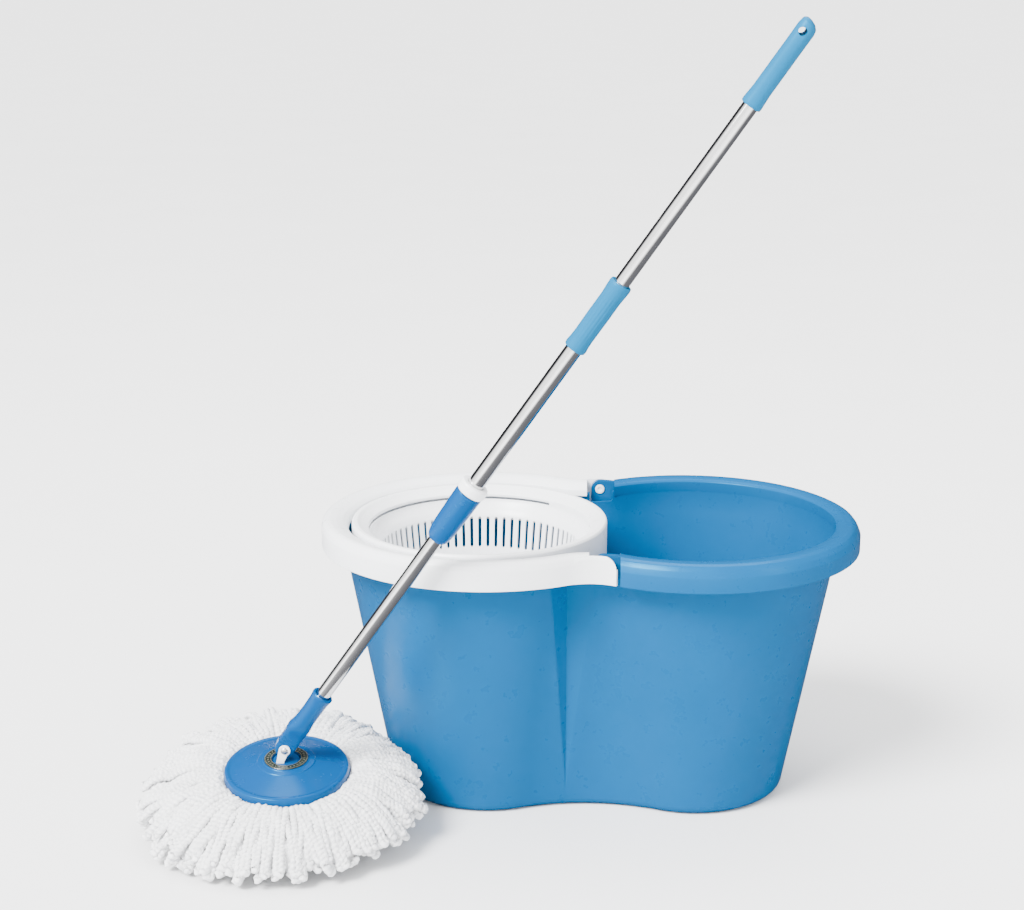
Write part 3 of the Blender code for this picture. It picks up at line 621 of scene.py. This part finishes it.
def make_handle():
    """The white band round the basket's side of the bucket, its two arms and its two studs."""
    profile = rounded(BAND, 0.001, True, 5)
    fillet, meet = waist_fillet(OUTER_R, OUTER_WAIST)
    xs = list(np.linspace(ARM_END_X, -meet, 24))
    path = [edge_point(x) for x in xs]
    start = math.atan2(OUTER_WAIST + fillet, LOBE_X)
    steps = 96
    for i in range(1, steps):
        a = start + (2 * math.pi - 2 * start) * i / steps
        normal = Vector((math.cos(a), math.sin(a)))
        path.append((Vector((-LOBE_X, 0.0)) + normal * OUTER_R, normal))
    for point, normal in reversed(path[: len(xs)]):
        path.append((Vector((point.x, -point.y)), Vector((normal.x, -normal.y))))
    rows = []
    for point, normal in path:
        rows.append([(*(point - normal * p.x), p.y) for p in profile])
    mesh = grid_mesh("handle_band", capped_rows(rows))
    stands_for = ("carry_handle",)
    handle = piece("handle_band", mesh, "carry_handle", "white_plastic", None, stands_for, 40.0)
    back = []
    for x in np.linspace(ARM_INNER_X, 0.040, 16):
        point, normal = edge_point(x)
        back.append(point - normal * 0.0030)
    back[0].x = ARM_INNER_X
    loop = back + [Vector((p.x, -p.y)) for p in reversed(back)]
    relief = [[(p.x, p.y, z) for p in loop] for z in (0.2165, 0.2825)]
    apply_boolean(handle, cutter("relief", grid_mesh("relief", capped_rows(relief))))
    for side in (1, -1):
        rows = []
        for k in range(17):
            point, normal = edge_point(-0.0140 + 0.0355 * k / 16)
            fade = 0.0026 * (1 - min(1.0, k / 6)) ** 1.5
            ring = []
            for inset, z in ARM:
                spot = point - normal * inset
                ring.append((spot.x, side * spot.y, z - (fade if z > 0.25 else 0.0)))
            rows.append(ring)
        apply_boolean(handle, cutter("arm", grid_mesh("arm", capped_rows(rows))), "UNION")
    x, z, r = ARM_ROUND
    loop = []
    for k in range(17):
        a = math.pi / 2 * (1 - k / 16)
        loop.append((x + r * math.cos(a), z + r * math.sin(a)))
    loop += [(0.0385, z), (0.0385, 0.2735), (x, 0.2735)]
    apply_boolean(handle, cutter("rounding", slab("rounding", loop, -0.17, 0.17)))
    soften(handle, 0.0006, 2, 50.0)
    for side in (1, -1):
        tag = "back" if side > 0 else "front"
        turn = Matrix.Rotation(-side * math.pi / 2, 4, "X")
        place = Matrix.Translation((PIVOT.x, 0.0, PIVOT.z)) @ turn
        stud = [
            (0.0, 0.1180),
            (0.0016, 0.1180),
            (0.0021, 0.1174),
            (0.0045, 0.1174, 0.0007),
            (0.0045, 0.1266),
            (0.0, 0.1266),
        ]
        lathe("stud_" + tag, stud, "carry_handle", "white_plastic", place, (), 0.0003, False, 40)


# ---------------------------------------------------------------- basket


def make_basket():
    """One sheet from the skirt over the rim to the hub, thickened, with its slots left open."""
    outer = [
        (0.1190, 0.2220),
        (0.1190, 0.2562, 0.002),
        (0.1176, 0.2584, 0.0015),
        (0.1138, 0.2584, 0.0015),
        (0.1108, 0.2560, 0.002),
        (0.1034, 0.2518, 0.0015),
        (0.10325, 0.2492),
        (0.1031, 0.2468),
        (0.1030, 0.2458, 0.0008),
    ]
    path = rounded(outer, 0.001, False, 4)
    riser = len(path)
    path += [Vector((0.1022, 0.2440)), Vector((0.0975, 0.2384)), Vector((0.0932, 0.2335))]
    upper = [0.2315, 0.2302, 0.2290, 0.2250, 0.2180, 0.2110, 0.2040, 0.2027, 0.2015]
    lower = [0.1940, 0.1927, 0.1914, 0.1860, 0.1780, 0.1700, 0.1626, 0.1613, 0.1600]

    def wall_r(z):
        knee = 0.2015
        return 0.0862 + (z - 0.1550) * 0.0655 if z < knee else 0.08924 + (z - knee) * 0.118

    for z in upper + [0.1978] + lower + [0.1560, 0.1500]:
        path.append(Vector((wall_r(z), z)))
    path += [Vector((0.0851, 0.1440)), Vector((0.0838, 0.1385)), Vector((0.0822, 0.1362))]
    floor_z = 0.1352
    path += [Vector((r, floor_z)) for r in (0.0800, 0.074, 0.060, 0.045, 0.030, 0.0185, 0.0080)]
    columns = (0.0, 0.15, 0.300, 0.375, 0.625, 0.700, 0.85)  # as shares of one slot's pitch
    width = len(columns)
    rows = []
    for p in path:
        row = []
        for k in range(SLOTS):
            for c in columns:
                a = 2 * math.pi * (k + c) / SLOTS
                row.append((p.x * math.cos(a), p.x * math.sin(a), p.y))
        rows.append(row)
    levels = [p.y for p in path]
    radii = [p.x for p in path]
    overflow_row = next(
        i
        for i in range(len(path) - 1)
        if abs(radii[i] - 0.1032) < 0.0006 and levels[i] - levels[i + 1] > 0.002
    )

    def drop(i, j):
        """Whether a face is left out, for the overflow slot or a drain slot with cut corners."""
        high, low = max(levels[i], levels[i + 1]), min(levels[i], levels[i + 1])
        column = j % width
        if radii[i] < 0.084 or i < riser - 1:
            degrees = 360.0 * (j // width + columns[column]) / SLOTS
            inside = 51 <= degrees < 187 or 231 <= degrees or degrees < 5
            return inside and i == overflow_row
        if column not in (2, 3, 4):
            return False
        for top, bottom in SLOT_BANDS:
            if low >= bottom - 1e-6 and high <= top + 1e-6:
                corner = high > top - 0.0002 or low < bottom + 0.0002
                return not (corner and column in (2, 4))
        return False

    mesh = grid_mesh("basket_shell", rows, True, False, drop)
    shell = piece("basket_shell", mesh, "basket", "white_plastic", BASKET, ("basket",), 35.0, False)
    bm = bmesh.new()
    bm.from_mesh(mesh)
    bmesh.ops.recalc_face_normals(bm, faces=bm.faces)
    test = next(f for f in bm.faces if abs(f.calc_center_median().z - floor_z) < 1e-4)
    if test.normal.z < 0:
        bmesh.ops.reverse_faces(bm, faces=bm.faces)
    bm.to_mesh(mesh)
    bm.free()
    thick = shell.modifiers.new("thickness", "SOLIDIFY")
    thick.thickness = 0.0019
    thick.offset = -1.0
    thick.use_even_offset = True
    soften(shell, 0.00035, 1, 50.0)
    hub = [(0.0125, 0.1349), (0.0125, 0.1200), (0.0080, 0.1200), (0.0080, floor_z)]
    lathe("basket_hub", hub, "basket", "white_plastic", BASKET, (), 0.0005, False, 48)
    cap = [
        (0.0, 0.1545),
        (0.0100, 0.1536, 0.004),
        (0.0150, 0.1500, 0.003),
        (0.0172, 0.1355, 0.0004),
        (0.0125, 0.1355),
    ]
    lathe("hub_cap_top", cap, "basket", "white_plastic", BASKET, ("hub_cap",), 0.001, False, 64)


# ---------------------------------------------------------------- mop head


def make_head():
    plate = [
        (0.0125, -0.0242),
        (0.0125, -0.0122, 0.0003),
        (0.0206, -0.0122, 0.0006),
        (0.0212, -0.0128, 0.0004),
        (0.0256, -0.0134, 0.0006),
        (0.0262, -0.0142, 0.0006),
        (0.0503, -0.0206, 0.004),
        (0.0530, -0.0199, 0.0016),
        (0.0551, -0.0208, 0.0016),
        (0.0562, -0.0238, 0.003),
        (0.0562, -0.0290, 0.0007),
        (0.0543, -0.0290, 0.0006),
        (0.0540, -0.0236, 0.002),
        (0.0500, -0.0230, 0.002),
        (0.0260, -0.0160),
        (0.0145, -0.0142),
        (0.0145, -0.0242),
    ]
    lathe("plate_disc", plate, "mop_plate", "plate_blue", HEAD, ("mop_plate",), 0.0008, True, 160)
    trim = [(0.0128, -0.0119), (0.0134, -0.0112), (0.0191, -0.0112), (0.0199, -0.0119)]
    lathe("trim_band", trim, "mop_plate", "dark_trim", HEAD, ("trim_ring",), 0.0004, True, 128)
    refill = [
        (0.0320, -0.0262),
        (0.0525, -0.0262),
        (0.0535, -0.0272),
        (0.0535, -0.0300),
        (0.0320, -0.0300),
    ]
    where = ("mop_plate", "white_plastic", HEAD, ("refill_ring",))
    lathe("refill_band", refill, *where, 0.0005, True, 96)
    for side in (1, -1):
        tag = "back" if side > 0 else "front"
        turn = Matrix.Rotation(-side * math.pi / 2, 4, "X")
        head = [
            (0.0, 0.0100),
            (0.0016, 0.00975, 0.001),
            (0.0031, 0.0088, 0.0012),
            (0.0034, 0.0079),
            (0.0, 0.0079),
        ]
        name, stands_for = "rivet_head_" + tag, ("pivot_rivet",)
        lathe(name, head, "mop_hub", "steel", HEAD @ turn, stands_for, 0.0004, False, 48)
        make_fork_arm(tag, side)
    loop = [(-0.0078, -0.0187), (-0.0018, -0.0187), (-0.0018, -0.0127), (-0.0078, -0.0127)]
    mesh = slab("fork_base", loop, -0.0070, 0.0070)
    base = piece("fork_base", mesh, "mop_hub", "white_plastic", HEAD, ("fork",), 40.0)
    soften(base, 0.0006, 2, 40.0)


def make_fork_arm(tag, side):
    """A strap with a round eye at the rivet, which leans down to its foot in the hub."""
    loop = []
    for k in range(29):
        a = math.radians(-62 + 236 * k / 28)
        loop.append((0.0051 * math.cos(a), 0.0051 * math.sin(a)))
    loop += [(-0.0079, -0.0118), (-0.0080, -0.0186), (-0.0016, -0.0186), (-0.0013, -0.0122)]
    low, high = sorted((side * 0.0062, side * 0.0078))
    mesh = slab("fork_arm_" + tag, loop, low, high)
    arm = piece("fork_arm_" + tag, mesh, "mop_hub", "white_plastic", HEAD, (), 40.0)
    soften(arm, 0.0005, 2, 40.0)


def super_ring(s, left, right, half, power):
    """A superellipse across the pole at height s, with its own reach to left and right."""
    count = 64
    ring = []
    for k in range(count):
        a = 2 * math.pi * k / count
        c, d = math.cos(a), math.sin(a)
        wide = right if c > 0 else left
        x = wide * math.copysign(abs(c) ** (2 / power), c)
        y = half * math.copysign(abs(d) ** (2 / power), d)
        ring.append((x, y, s))
    return ring


def make_socket():
    """A flat-sided foot round the rivet, a shoulder, then a round sleeve with a lip."""
    rows = []
    for k in range(1, 10):
        a = math.pi / 2 * k / 9
        left, right = 0.0090 * math.sin(a), 0.0086 * math.sin(a)
        rows.append(super_ring(-0.0088 * math.cos(a), left, right, 0.0057, 7.0))
    stations = [
        (0.0060, 0.0092, 0.0084, 0.0058, 6.5),
        (0.0130, 0.0095, 0.0083, 0.0060, 6.0),
        (0.0165, 0.0097, 0.0084, 0.0063, 5.0),
        (0.0190, 0.0101, 0.0086, 0.0070, 4.2),
        (0.0215, 0.0103, 0.0088, 0.0078, 3.6),
        (0.0240, 0.0102, 0.0090, 0.0084, 3.0),
        (0.0262, 0.0098, 0.0090, 0.0086, 2.6),
        (0.0300, 0.0092, 0.0088, 0.0086, 2.2),
        (0.0340, 0.0087, 0.0086, 0.0086, 2.0),
        (0.0450, 0.0086, 0.0086, 0.0086, 2.0),
        (0.0560, 0.0088, 0.0088, 0.0088, 2.0),
        (0.0600, 0.0092, 0.0092, 0.0092, 2.0),
        (0.0622, 0.0096, 0.0096, 0.0096, 2.0),
        (0.0634, 0.0096, 0.0096, 0.0096, 2.0),
        (0.0640, 0.0091, 0.0091, 0.0091, 2.0),
        (0.0640, 0.0072, 0.0072, 0.0072, 2.0),
        (0.0634, 0.0067, 0.0067, 0.0067, 2.0),
        (0.0310, 0.0067, 0.0067, 0.0067, 2.0),
    ]
    rows += [super_ring(*station) for station in stations]
    mesh = grid_mesh("socket_body", capped_rows(rows))
    piece("socket_body", mesh, "lower_pole", "plate_blue", POLE, ("joint_socket",), 50.0)
    for k in range(4):
        s = 0.0048 + 0.0034 * k
        foot, crest = (0.0091, 0.0082, 0.0058, 6.5), (0.0096, 0.0087, 0.0062, 6.5)
        rib = [super_ring(s - 0.0005, *foot), super_ring(s, *crest), super_ring(s + 0.0005, *foot)]
        mesh = grid_mesh(f"socket_rib_{k}", capped_rows(rib))
        piece(f"socket_rib_{k}", mesh, "lower_pole", "plate_blue", POLE, (), 50.0)


# ---------------------------------------------------------------- tufts


def cord_points(path, radius, lay, sides, phase):
    """One cord's points, and how many times its plies have wound by each. It is a tube with two
    plies that wind round it once in each lay, and it thins at its ends."""
    path = np.asarray(path)
    n = len(path)
    tangent = np.gradient(path, axis=0)
    tangent /= np.linalg.norm(tangent, axis=1)[:, None]
    side = np.cross(tangent, (0.0, 0.0, 1.0))
    length = np.linalg.norm(side, axis=1)
    for i in range(n):
        if length[i] < 0.05:
            side[i] = side[i - 1] if i else (1.0, 0.0, 0.0)
    side /= np.linalg.norm(side, axis=1)[:, None]
    up = np.cross(side, tangent)
    run = np.concatenate([[0], np.cumsum(np.linalg.norm(np.diff(path, axis=0), axis=1))])
    angles = 2 * np.pi * np.arange(sides) / sides
    wind = phase + 2 * np.pi * run / lay
    swell = 1 + 0.22 * np.cos(2 * (angles[None, :] - wind[:, None]))
    swell *= (1 + 0.10 * np.sin(run * 2 * np.pi / (lay * 1.7) + phase * 3))[:, None]
    taper = np.minimum(1.0, np.minimum(run, run[-1] - run) / 0.003 + 0.35)
    r = radius * swell * taper[:, None]
    points = (
        path[:, None, :]
        + side[:, None, :] * (r * np.cos(angles))[:, :, None]
        + up[:, None, :] * (r * np.sin(angles))[:, :, None]
    )
    return points, run / lay


def tuft_reach(angle):
    """The heap's radius in this direction. It is pressed in a little beside the bucket."""
    off = angle - math.radians(39)
    off = math.atan2(math.sin(off), math.cos(off))
    squeeze = math.cos(2 * off) ** 2 if abs(off) < math.pi / 4 else 0.0
    front = max(0.0, -math.sin(angle))
    return 1.0 - 0.060 * squeeze - 0.045 * math.cos(angle) - 0.065 * front**1.5


def tuft_height(r, angle, depth):
    """Height of one layer's cords in the head's frame. They spread out in the plate's own plane."""
    rim = -0.0255
    if r < TUFT_EDGE:
        return rim - (TUFT_EDGE - r) * 0.95
    share = min((r - TUFT_EDGE) / 0.066, 1.0)
    top = -0.0415 + 0.0110 * math.sin(angle)
    tip = top + (-0.0665 - top) * depth
    swell = 0.0045 * math.sin(math.pi * min(1.0, share * 1.5)) * (1 - 0.7 * depth)
    return rim + (tip - rim) * share**1.2 + swell


def loop_path(angle, layer, step):
    """One looped cord: out from under the plate, round at the tip, and back beside itself."""
    reach = TUFT_REACHES[layer] + random.uniform(-0.0085, 0.0050)
    spread = random.uniform(0.0023, 0.0031)
    sway = random.uniform(-0.065, 0.065)
    curl = random.uniform(-0.06, 0.06)
    drop = TUFT_DROPS[layer] + random.uniform(-0.0012, 0.0016)
    depth = TUFT_DEPTHS[layer] + random.uniform(-0.05, 0.05)
    wave = random.uniform(0.0, 6.28)
    lumps = random.uniform(0.0004, 0.0014)
    low = 0.0026 + 0.0012 * random.uniform(0.0, 1.0)
    inner = 0.046 + random.uniform(-0.001, 0.001)
    reach = inner + (reach * tuft_reach(angle + sway) - inner)
    legs = []
    for sign in (-1, 1):
        leg = []
        count = max(8, int((reach - inner) / step))
        for i in range(count + 1):
            t = i / count
            r = inner + (reach - inner) * t
            a = angle + sway * t * t + curl * math.sin(3.0 * t) * 0.4
            offset = sign * spread * (0.55 + 0.45 * math.sin(math.pi * min(1.0, 0.15 + t * 0.85)))
            offset += 0.0006 * math.sin(wave + 9 * t + sign)
            x = r * math.cos(a) - offset * math.sin(a)
            y = r * math.sin(a) + offset * math.cos(a)
            z = tuft_height(r, a, depth) - drop * (1 - t) + lumps * math.sin(wave * 2 + 14 * t)
            curled = max(0.0, t - 0.84) / 0.16
            z -= 0.0055 * curled**2
            spot = HEAD @ Vector((x, y, z))
            leg.append((spot.x, spot.y, max(spot.z, low)))
        legs.append(np.array(leg))
    first, last = legs
    a, b = first[-1], last[-1]
    away = np.array((math.cos(angle + sway), math.sin(angle + sway), -0.25))
    middle = (a + b) / 2
    half = (b - a) / 2
    turn = []
    for k in range(1, 6):
        th = math.pi * k / 6
        p = middle - half * math.cos(th) + away * (np.linalg.norm(half) * 1.25) * math.sin(th)
        p[2] = max(p[2], low * 0.9)
        turn.append(p)
    return np.concatenate([first, np.array(turn), last[::-1]])


def make_tufts():
    step = 0.0015
    sides = 8
    for layer, count in enumerate(TUFT_COUNTS):
        verts, faces, coords = [], [], []
        base = 0
        for i in range(count):
            angle = 2 * math.pi * (i + 0.37 * layer + random.uniform(-0.28, 0.28)) / count
            path = loop_path(angle, layer, step)
            radius = random.uniform(0.0026, 0.0034)
            lay = random.uniform(0.0075, 0.0095)
            points, run = cord_points(path, radius, lay, sides, random.uniform(0, 6.28))
            points[:, :, 2] = np.maximum(points[:, :, 2], 0.0003)
            n = len(points)
            verts.append(points.reshape(-1, 3))
            for a in range(n - 1):
                here, after = base + a * sides, base + (a + 1) * sides
                for b in range(sides):
                    c = (b + 1) % sides
                    faces.append((here + b, here + c, after + c, after + b))
                    u0, u1 = b / sides, (b + 1) / sides
                    coords.append(((u0, run[a]), (u1, run[a]), (u1, run[a + 1]), (u0, run[a + 1])))
            faces.append(tuple(base + b for b in range(sides)))
            coords.append(tuple((0.0, 0.0) for _ in range(sides)))
            faces.append(tuple(base + (n - 1) * sides + b for b in reversed(range(sides))))
            coords.append(tuple((0.0, 0.0) for _ in range(sides)))
            base += n * sides
        mesh = bpy.data.meshes.new(f"tufts_{layer}")
        mesh.from_pydata(np.concatenate(verts).tolist(), [], faces)
        corners = np.array([c for face in coords for c in face], np.float32)
        mesh.uv_layers.new(name="UVMap").data.foreach_set("uv", corners.reshape(-1))
        piece(f"tufts_{layer}", mesh, "mop_plate", "fibre", None, ("strands",), 0, False)


# ---------------------------------------------------------------- pole


def tube(name, outer, inner, low, high, body, stands_for):
    profile = [(inner, high), (outer, high), (outer, low), (inner, low)]
    lathe(name, profile, body, "steel", POLE, stands_for, 0.0002, True, 72)


def fluted(depth, count, low, high):
    """Moves a point in so that shallow flutes run along the piece between two heights."""

    def change(r, z, a):
        if r < 0.0080 or not low < z < high:
            return r, z
        fade = min(1.0, (z - low) / 0.004, (high - z) / 0.004)
        return r - depth * fade * max(0.0, math.cos(count * a)) ** 2, z

    return change


def make_pole():
    tube("tube_lower", 0.0064, 0.0058, 0.030, 0.335, "lower_pole", ("lower_tube",))
    tube("tube_outer", 0.0073, 0.0067, 0.262, 0.508, "outer_pole", ("outer_tube",))
    tube("tube_upper", 0.0065, 0.0059, 0.4285, 0.742, "upper_pole", ("upper_tube",))
    lock = [
        (0.0076, 0.2990),
        (0.0117, 0.2990, 0.0006),
        (0.0121, 0.2966, 0.002),
        (0.0117, 0.2800, 0.02),
        (0.0111, 0.2620, 0.01),
        (0.0106, 0.2560, 0.006),
        (0.0096, 0.2505, 0.004),
        (0.0080, 0.2475, 0.001),
        (0.0067, 0.2475),
        (0.0067, 0.2600),
        (0.0076, 0.2610),
    ]

    def lock_shape(r, z, a):
        if r > 0.0085 and z > 0.2972:
            return r, z - 0.0010 * max(0.0, -math.cos(2 * a))
        return r, z

    where = ("lock_sleeve", "plate_blue", POLE, ("lock_sleeve",))
    lathe("lock_body", lock, *where, 0.0006, True, 96, lock_shape)
    collar = [
        (0.0076, 0.3085),
        (0.0119, 0.3085, 0.0009),
        (0.0128, 0.3068, 0.0008),
        (0.0128, 0.3010, 0.0008),
        (0.0119, 0.2993, 0.0006),
        (0.0076, 0.2993),
    ]
    where = ("outer_pole", "white_plastic", POLE, ("collar_ring",))
    lathe("collar_band", collar, *where, 0.0005, True, 96)
    mid = [
        (0.0068, 0.5212),
        (0.0093, 0.5212, 0.0008),
        (0.0097, 0.5185, 0.001),
        (0.0094, 0.5130, 0.006),
        (0.0089, 0.5060, 0.008),
        (0.0090, 0.4880, 0.02),
        (0.0088, 0.4680, 0.008),
        (0.0091, 0.4610, 0.004),
        (0.0096, 0.4572, 0.001),
        (0.0092, 0.4544, 0.0008),
        (0.0076, 0.4544),
        (0.0076, 0.5086),
        (0.0068, 0.5090),
    ]
    where = ("mid_sleeve", "grip_cyan", POLE, ("mid_sleeve",))
    flutes = fluted(0.00028, 18, 0.4635, 0.5115)
    lathe("mid_body", mid, *where, 0.0006, True, 144, flutes)


def make_grip():
    grip = [
        (0.0, 0.7748),
        (0.0040, 0.7742, 0.002),
        (0.0070, 0.7716, 0.003),
        (0.0079, 0.7660, 0.004),
        (0.0078, 0.7500, 0.02),
        (0.0079, 0.7080, 0.02),
        (0.0085, 0.6990, 0.004),
        (0.0087, 0.6962, 0.001),
        (0.0083, 0.6940, 0.0006),
        (0.0068, 0.6940),
        (0.0068, 0.7420),
        (0.0, 0.7426),
    ]

    def slant(r, z, a):
        """Slopes the grip's tip."""
        start = 0.758
        if z < start:
            return r, z
        share = (z - start) / 0.0168
        x = r * math.cos(a)
        return r, z - share * (0.0022 + 0.30 * x)

    where = ("upper_pole", "grip_cyan", POLE, ("grip",))
    made = lathe("grip_body", grip, *where, 0.0006, False, 96, slant)
    hole_r, hole_x, hole_z = 0.0034, -0.0022, 0.7625
    turn = np.linspace(0, 2 * math.pi, 40, endpoint=False)
    ring = [(hole_x + hole_r * math.cos(a), hole_z + hole_r * math.sin(a)) for a in turn]
    rows = [[(x, y, z) for x, z in ring] for y in (-0.02, 0.02)]
    mesh = grid_mesh("hang_hole", capped_rows(rows))
    apply_boolean(made, cutter("hang_hole", mesh, POLE))
    soften(made, 0.0006, 2, 45.0)


def dress_cad():
    """The CAD pieces still in sight get the same materials, and the hub gets eased edges."""
    for row in frame["record"]["subparts"]:
        node = frame["nodes"][row["node"]]
        if node.hide_render:
            continue
        node.data.materials.clear()
        node.data.materials.append(LOOKS[row["material_slot"]])
    soften(frame["nodes"]["swivel_hub"], 0.0003, 2, 40.0)


# ---------------------------------------------------------------- stage


def make_floor():
    """A pale floor. In reflections its far part is dark, except on the key light's side."""
    made, tree, shader = new_material("floor_look")
    place = tree.nodes.new("ShaderNodeTexCoord").outputs["Object"]
    soft = noise(tree, place, 3.0, 3.0)
    tone = remap(tree, soft, 0.3, 0.7, 0.0, 1.0)
    pale = mix(tree, tone, (0.84, 0.84, 0.84), (0.86, 0.86, 0.86))
    parts = tree.nodes.new("ShaderNodeSeparateXYZ")
    tree.links.new(place, parts.inputs["Vector"])
    away = tree.nodes.new("ShaderNodeVectorMath")
    away.operation = "LENGTH"
    tree.links.new(place, away.inputs[0])
    far = remap(tree, away.outputs["Value"], 0.9, 1.5, 0.0, 1.0)
    left = maths(tree, "MULTIPLY", parts.outputs["X"], -0.5)
    lit = maths(tree, "ADD", left, maths(tree, "MULTIPLY", parts.outputs["Y"], -0.87))
    lit = maths(tree, "DIVIDE", lit, away.outputs["Value"])
    lit = remap(tree, lit, 0.05, 0.6, 0.0, 1.0)
    share = maths(tree, "MULTIPLY", far, lit)
    shown = mix(tree, share, (0.03, 0.03, 0.035), (0.92, 0.92, 0.92))
    ray = tree.nodes.new("ShaderNodeLightPath").outputs["Is Glossy Ray"]
    tree.links.new(mix(tree, ray, pale, shown), shader.inputs["Base Color"])
    shader.inputs["Roughness"].default_value = 0.7
    mesh = bpy.data.meshes.new("floor")
    size = 60.0
    corners = [(-size, -size, 0), (size, -size, 0), (size, size, 0), (-size, size, 0)]
    mesh.from_pydata(corners, [], [(0, 1, 2, 3)])
    mesh.materials.append(made)
    floor = bpy.data.objects.new("floor", mesh)
    floor.location.z = -0.0004
    bpy.context.scene.collection.objects.link(floor)


def make_world():
    """Near white all round, but in reflections dark away from the key light's side."""
    world = bpy.data.worlds.new("studio")
    bpy.context.scene.world = world
    world.use_nodes = True
    tree = world.node_tree
    background = tree.nodes["Background"]
    way = tree.nodes.new("ShaderNodeTexCoord").outputs["Generated"]
    parts = tree.nodes.new("ShaderNodeSeparateXYZ")
    tree.links.new(way, parts.inputs["Vector"])
    tilt = maths(tree, "MULTIPLY", parts.outputs["X"], -0.35)
    tilt = maths(tree, "ADD", tilt, parts.outputs["Z"])
    ramp = remap(tree, tilt, -0.3, 1.0, 0.0, 1.0)
    colour = mix(tree, ramp, (0.86, 0.87, 0.89), (1.0, 1.0, 1.0))
    side = maths(tree, "MULTIPLY", parts.outputs["X"], -0.5)
    side = maths(tree, "ADD", side, maths(tree, "MULTIPLY", parts.outputs["Y"], -0.87))
    side = remap(tree, side, 0.25, 0.72, 0.0, 1.0)
    shown = mix(tree, side, (0.02, 0.02, 0.024), (1.5, 1.5, 1.5))
    ray = tree.nodes.new("ShaderNodeLightPath").outputs["Is Glossy Ray"]
    tree.links.new(mix(tree, ray, colour, shown), background.inputs["Color"])
    background.inputs["Strength"].default_value = 2.1


def make_lights():
    sun = bpy.data.lights.new("sun", "SUN")
    sun.energy = 9.5
    sun.angle = math.radians(26)
    lamp = bpy.data.objects.new("sun", sun)
    lamp.rotation_euler = (math.radians(30), math.radians(-34), 0.0)
    bpy.context.scene.collection.objects.link(lamp)

    def area(name, place, target, size, power):
        data = bpy.data.lights.new(name, "AREA")
        data.shape = "RECTANGLE"
        data.size, data.size_y = size
        data.energy = power
        lamp = bpy.data.objects.new(name, data)
        bpy.context.scene.collection.objects.link(lamp)
        lamp.location = place
        lamp.rotation_mode = "QUATERNION"
        lamp.rotation_quaternion = (Vector(target) - Vector(place)).to_track_quat("-Z", "Y")

    area("key", (-1.9, -1.9, 2.6), (-0.05, 0, 0.2), (1.2, 1.6), 90.0)
    area("fill", (2.4, -1.6, 1.8), (0, 0, 0.2), (0.8, 1.6), 24.0)
    area("top", (0.1, 0.9, 2.9), (0, 0, 0.1), (2.2, 1.4), 60.0)


def make_camera():
    """The camera, placed and turned for the picture's view."""
    data = bpy.data.cameras.new("camera")
    data.sensor_width = 36.0
    data.lens = 68.4
    data.clip_start, data.clip_end = 0.05, 200.0
    camera = bpy.data.objects.new("camera", data)
    bpy.context.scene.collection.objects.link(camera)
    right = Vector((0.99958, 0.02896, 0.0))
    up = Vector((-0.00736, 0.2540, 0.9672))
    back = Vector((0.0280, -0.9668, 0.2541))
    turn = Matrix((right, up, back)).transposed().to_4x4()
    camera.matrix_world = Matrix.Translation((-0.0223, -1.7402, 0.7760)) @ turn
    bpy.context.scene.camera = camera


make_tub()
make_rim()
make_lugs()
make_handle()
make_basket()
make_head()
make_socket()
make_tufts()
make_pole()
make_grip()
dress_cad()
make_floor()
make_world()
make_lights()
make_camera()
